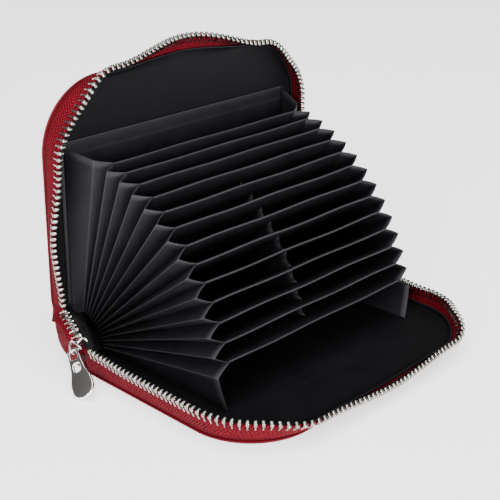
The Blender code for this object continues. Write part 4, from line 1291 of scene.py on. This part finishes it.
def runEnds():
    # four control points from the slider's mouth to the upper row's end, and the teeth's direction at both
    bend, up, across, outward = (part[0] for part in wallFrame(np.array([pathTotal - zipPath["upperTrim"]]),
                                                             zipPath["upperLean"]))
    toRoot = np.linalg.inv(lowerPlace) @ upperPlace
    far = carry(bend + up * (wallHeight + wallet["seatGap"]), toRoot)
    along = carryTurn(np.array([0, 1.0, 0]), toRoot)
    near = carry([-runShape["mouthOffset"], -sliderShape["length"] / 2 - runShape["clear"], 0], sliderLocal)
    return (near, near + np.array(runShape["nearBend"]),
            far + along * (wallet["seatGap"] + runShape["farDrop"]), far + along * wallet["seatGap"],
            unit(np.array(runShape["nearUp"])), carryTurn(up, toRoot))


runLine = runEnds()


def runFrame(share):
    # a cubic through four control points, with the teeth's direction eased from end to end
    share = np.asarray(share, float)[..., None]
    rest = 1 - share
    a, b, c, d, nearUp, farUp = runLine
    point = a * rest ** 3 + b * 3 * rest ** 2 * share + c * 3 * rest * share ** 2 + d * share ** 3
    along = unit((b - a) * rest ** 2 + (c - b) * 2 * rest * share + (d - c) * share ** 2)
    up = between(nearUp, farUp, share ** runShape["turnPower"])
    up = unit(up - along * np.sum(up * along, -1)[..., None])
    return point, up, np.cross(along, up), along


def makeRun():
    # teeth at even shares of the run, each on the leaf at its height, and one strip of tape for each fold
    folds = pageCount + 1
    samples = runFrame(np.linspace(0, 1, runShape["samples"]))[0]
    length = np.sum(np.linalg.norm(np.diff(samples, axis=0), axis=1))
    count = round(length / toothShape["pitch"])
    shares = (np.arange(count) + 0.5) / count
    point, up, across, along = runFrame(shares)
    teeth = carry(toothPoints(point - up * wallet["seatGap"], up, across, along), lowerPlace)
    for index, share in enumerate(shares):
        points, faces = tubes(teeth[index:index + 1])
        item = makeObject(f"run_tooth_{index + 1:02d}", points, toothNickel, faces, outward=True, sharp=50)
        dress(item, leafBodies[int(round(share * folds))], "upper_zip_run_teeth")
    parts = np.linspace(0, 1, runShape["stripColumns"])[None]
    middle = runShape["stripColumns"] // 2
    for wedge in range(folds):
        share = np.linspace(wedge, wedge + 1, runShape["stripRows"]) / folds
        point, up, across, along = runFrame(share)
        depth = between(runShape["nearReach"], wallHeight, share ** runShape["reachPower"])[:, None] * parts
        rows = carry((point - up * wallet["seatGap"])[:, None] - up[:, None] * depth[..., None], lowerPlace)
        uvs = spread((share * length)[:, None], wallHeight - depth)
        foldStrip(f"run_tape_{wedge:02d}", rows, redTape, uvs, zipPath["tapeThickness"], wedge,
                  (rows[0, middle], rows[-1, middle]), "upper_zip_run_tape")


makeRun()


print("wallet: run made")

# floor, light and camera
studio = {
    "floor": 5.0, "floorColour": (0.93, 0.93, 0.93), "floorRoughness": 0.9, "floorGlow": 1.25, "sky": 0.32,
    "camera": (-0.3014, -0.3231, 0.2143), "forward": (0.6612, 0.6438, -0.3847),
    "right": (0.6977, -0.7166, 0.0), "lens": 80.9, "sensor": 36, "nearest": 0.01,
    # place, the point it looks at, size and power of each lamp
    "lamps": {"top_light": ((-0.3, -0.2, 2.4), (0.2, 0.3, 0), 2.4, 85),
              "key_light": ((-1.0, -0.40, 0.50), (0, 0, 0.05), 0.6, 16),
              "front_light": ((-0.25, -1.1, 0.28), (0, 0, 0.04), 0.5, 20)},
}
floorMaterial, _, floorShader = newMaterial("pale_floor", studio["floorColour"], studio["floorRoughness"])
floorShader.inputs["Emission Color"].default_value = (1, 1, 1, 1)
floorShader.inputs["Emission Strength"].default_value = studio["floorGlow"]
corners = np.array([(-1, -1, 0), (1, -1, 0), (1, 1, 0), (-1, 1, 0)]) * studio["floor"] / 2
makeObject("studio_floor", corners, floorMaterial, [[0, 1, 2, 3]])

world = bpy.data.worlds.new("studio")
bpy.context.scene.world = world
world.use_nodes = True
world.node_tree.nodes["Background"].inputs["Color"].default_value = (1, 1, 1, 1)
world.node_tree.nodes["Background"].inputs["Strength"].default_value = studio["sky"]

for name, (place, target, size, power) in studio["lamps"].items():
    lamp = bpy.data.lights.new(name, "AREA")
    lamp.energy = power
    lamp.size = size
    item = bpy.data.objects.new(name, lamp)
    bpy.context.scene.collection.objects.link(item)
    direction = Matrix.Translation(place).translation - Matrix.Translation(target).translation
    item.location = place
    item.rotation_euler = direction.to_track_quat("Z", "Y").to_euler()

lens = bpy.data.cameras.new("photo_camera")
lens.lens = studio["lens"]
lens.sensor_width = studio["sensor"]
lens.clip_start = studio["nearest"]
camera = bpy.data.objects.new("photo_camera", lens)
bpy.context.scene.collection.objects.link(camera)
forward, right = unit(np.array(studio["forward"])), unit(np.array(studio["right"]))
matrix = np.eye(4)
matrix[:3, 0], matrix[:3, 1], matrix[:3, 2] = right, np.cross(right, forward), -forward
matrix[:3, 3] = carry(studio["camera"], lowerPlace)
camera.matrix_world = Matrix(matrix.tolist())
bpy.context.scene.camera = camera
print("wallet: studio made")
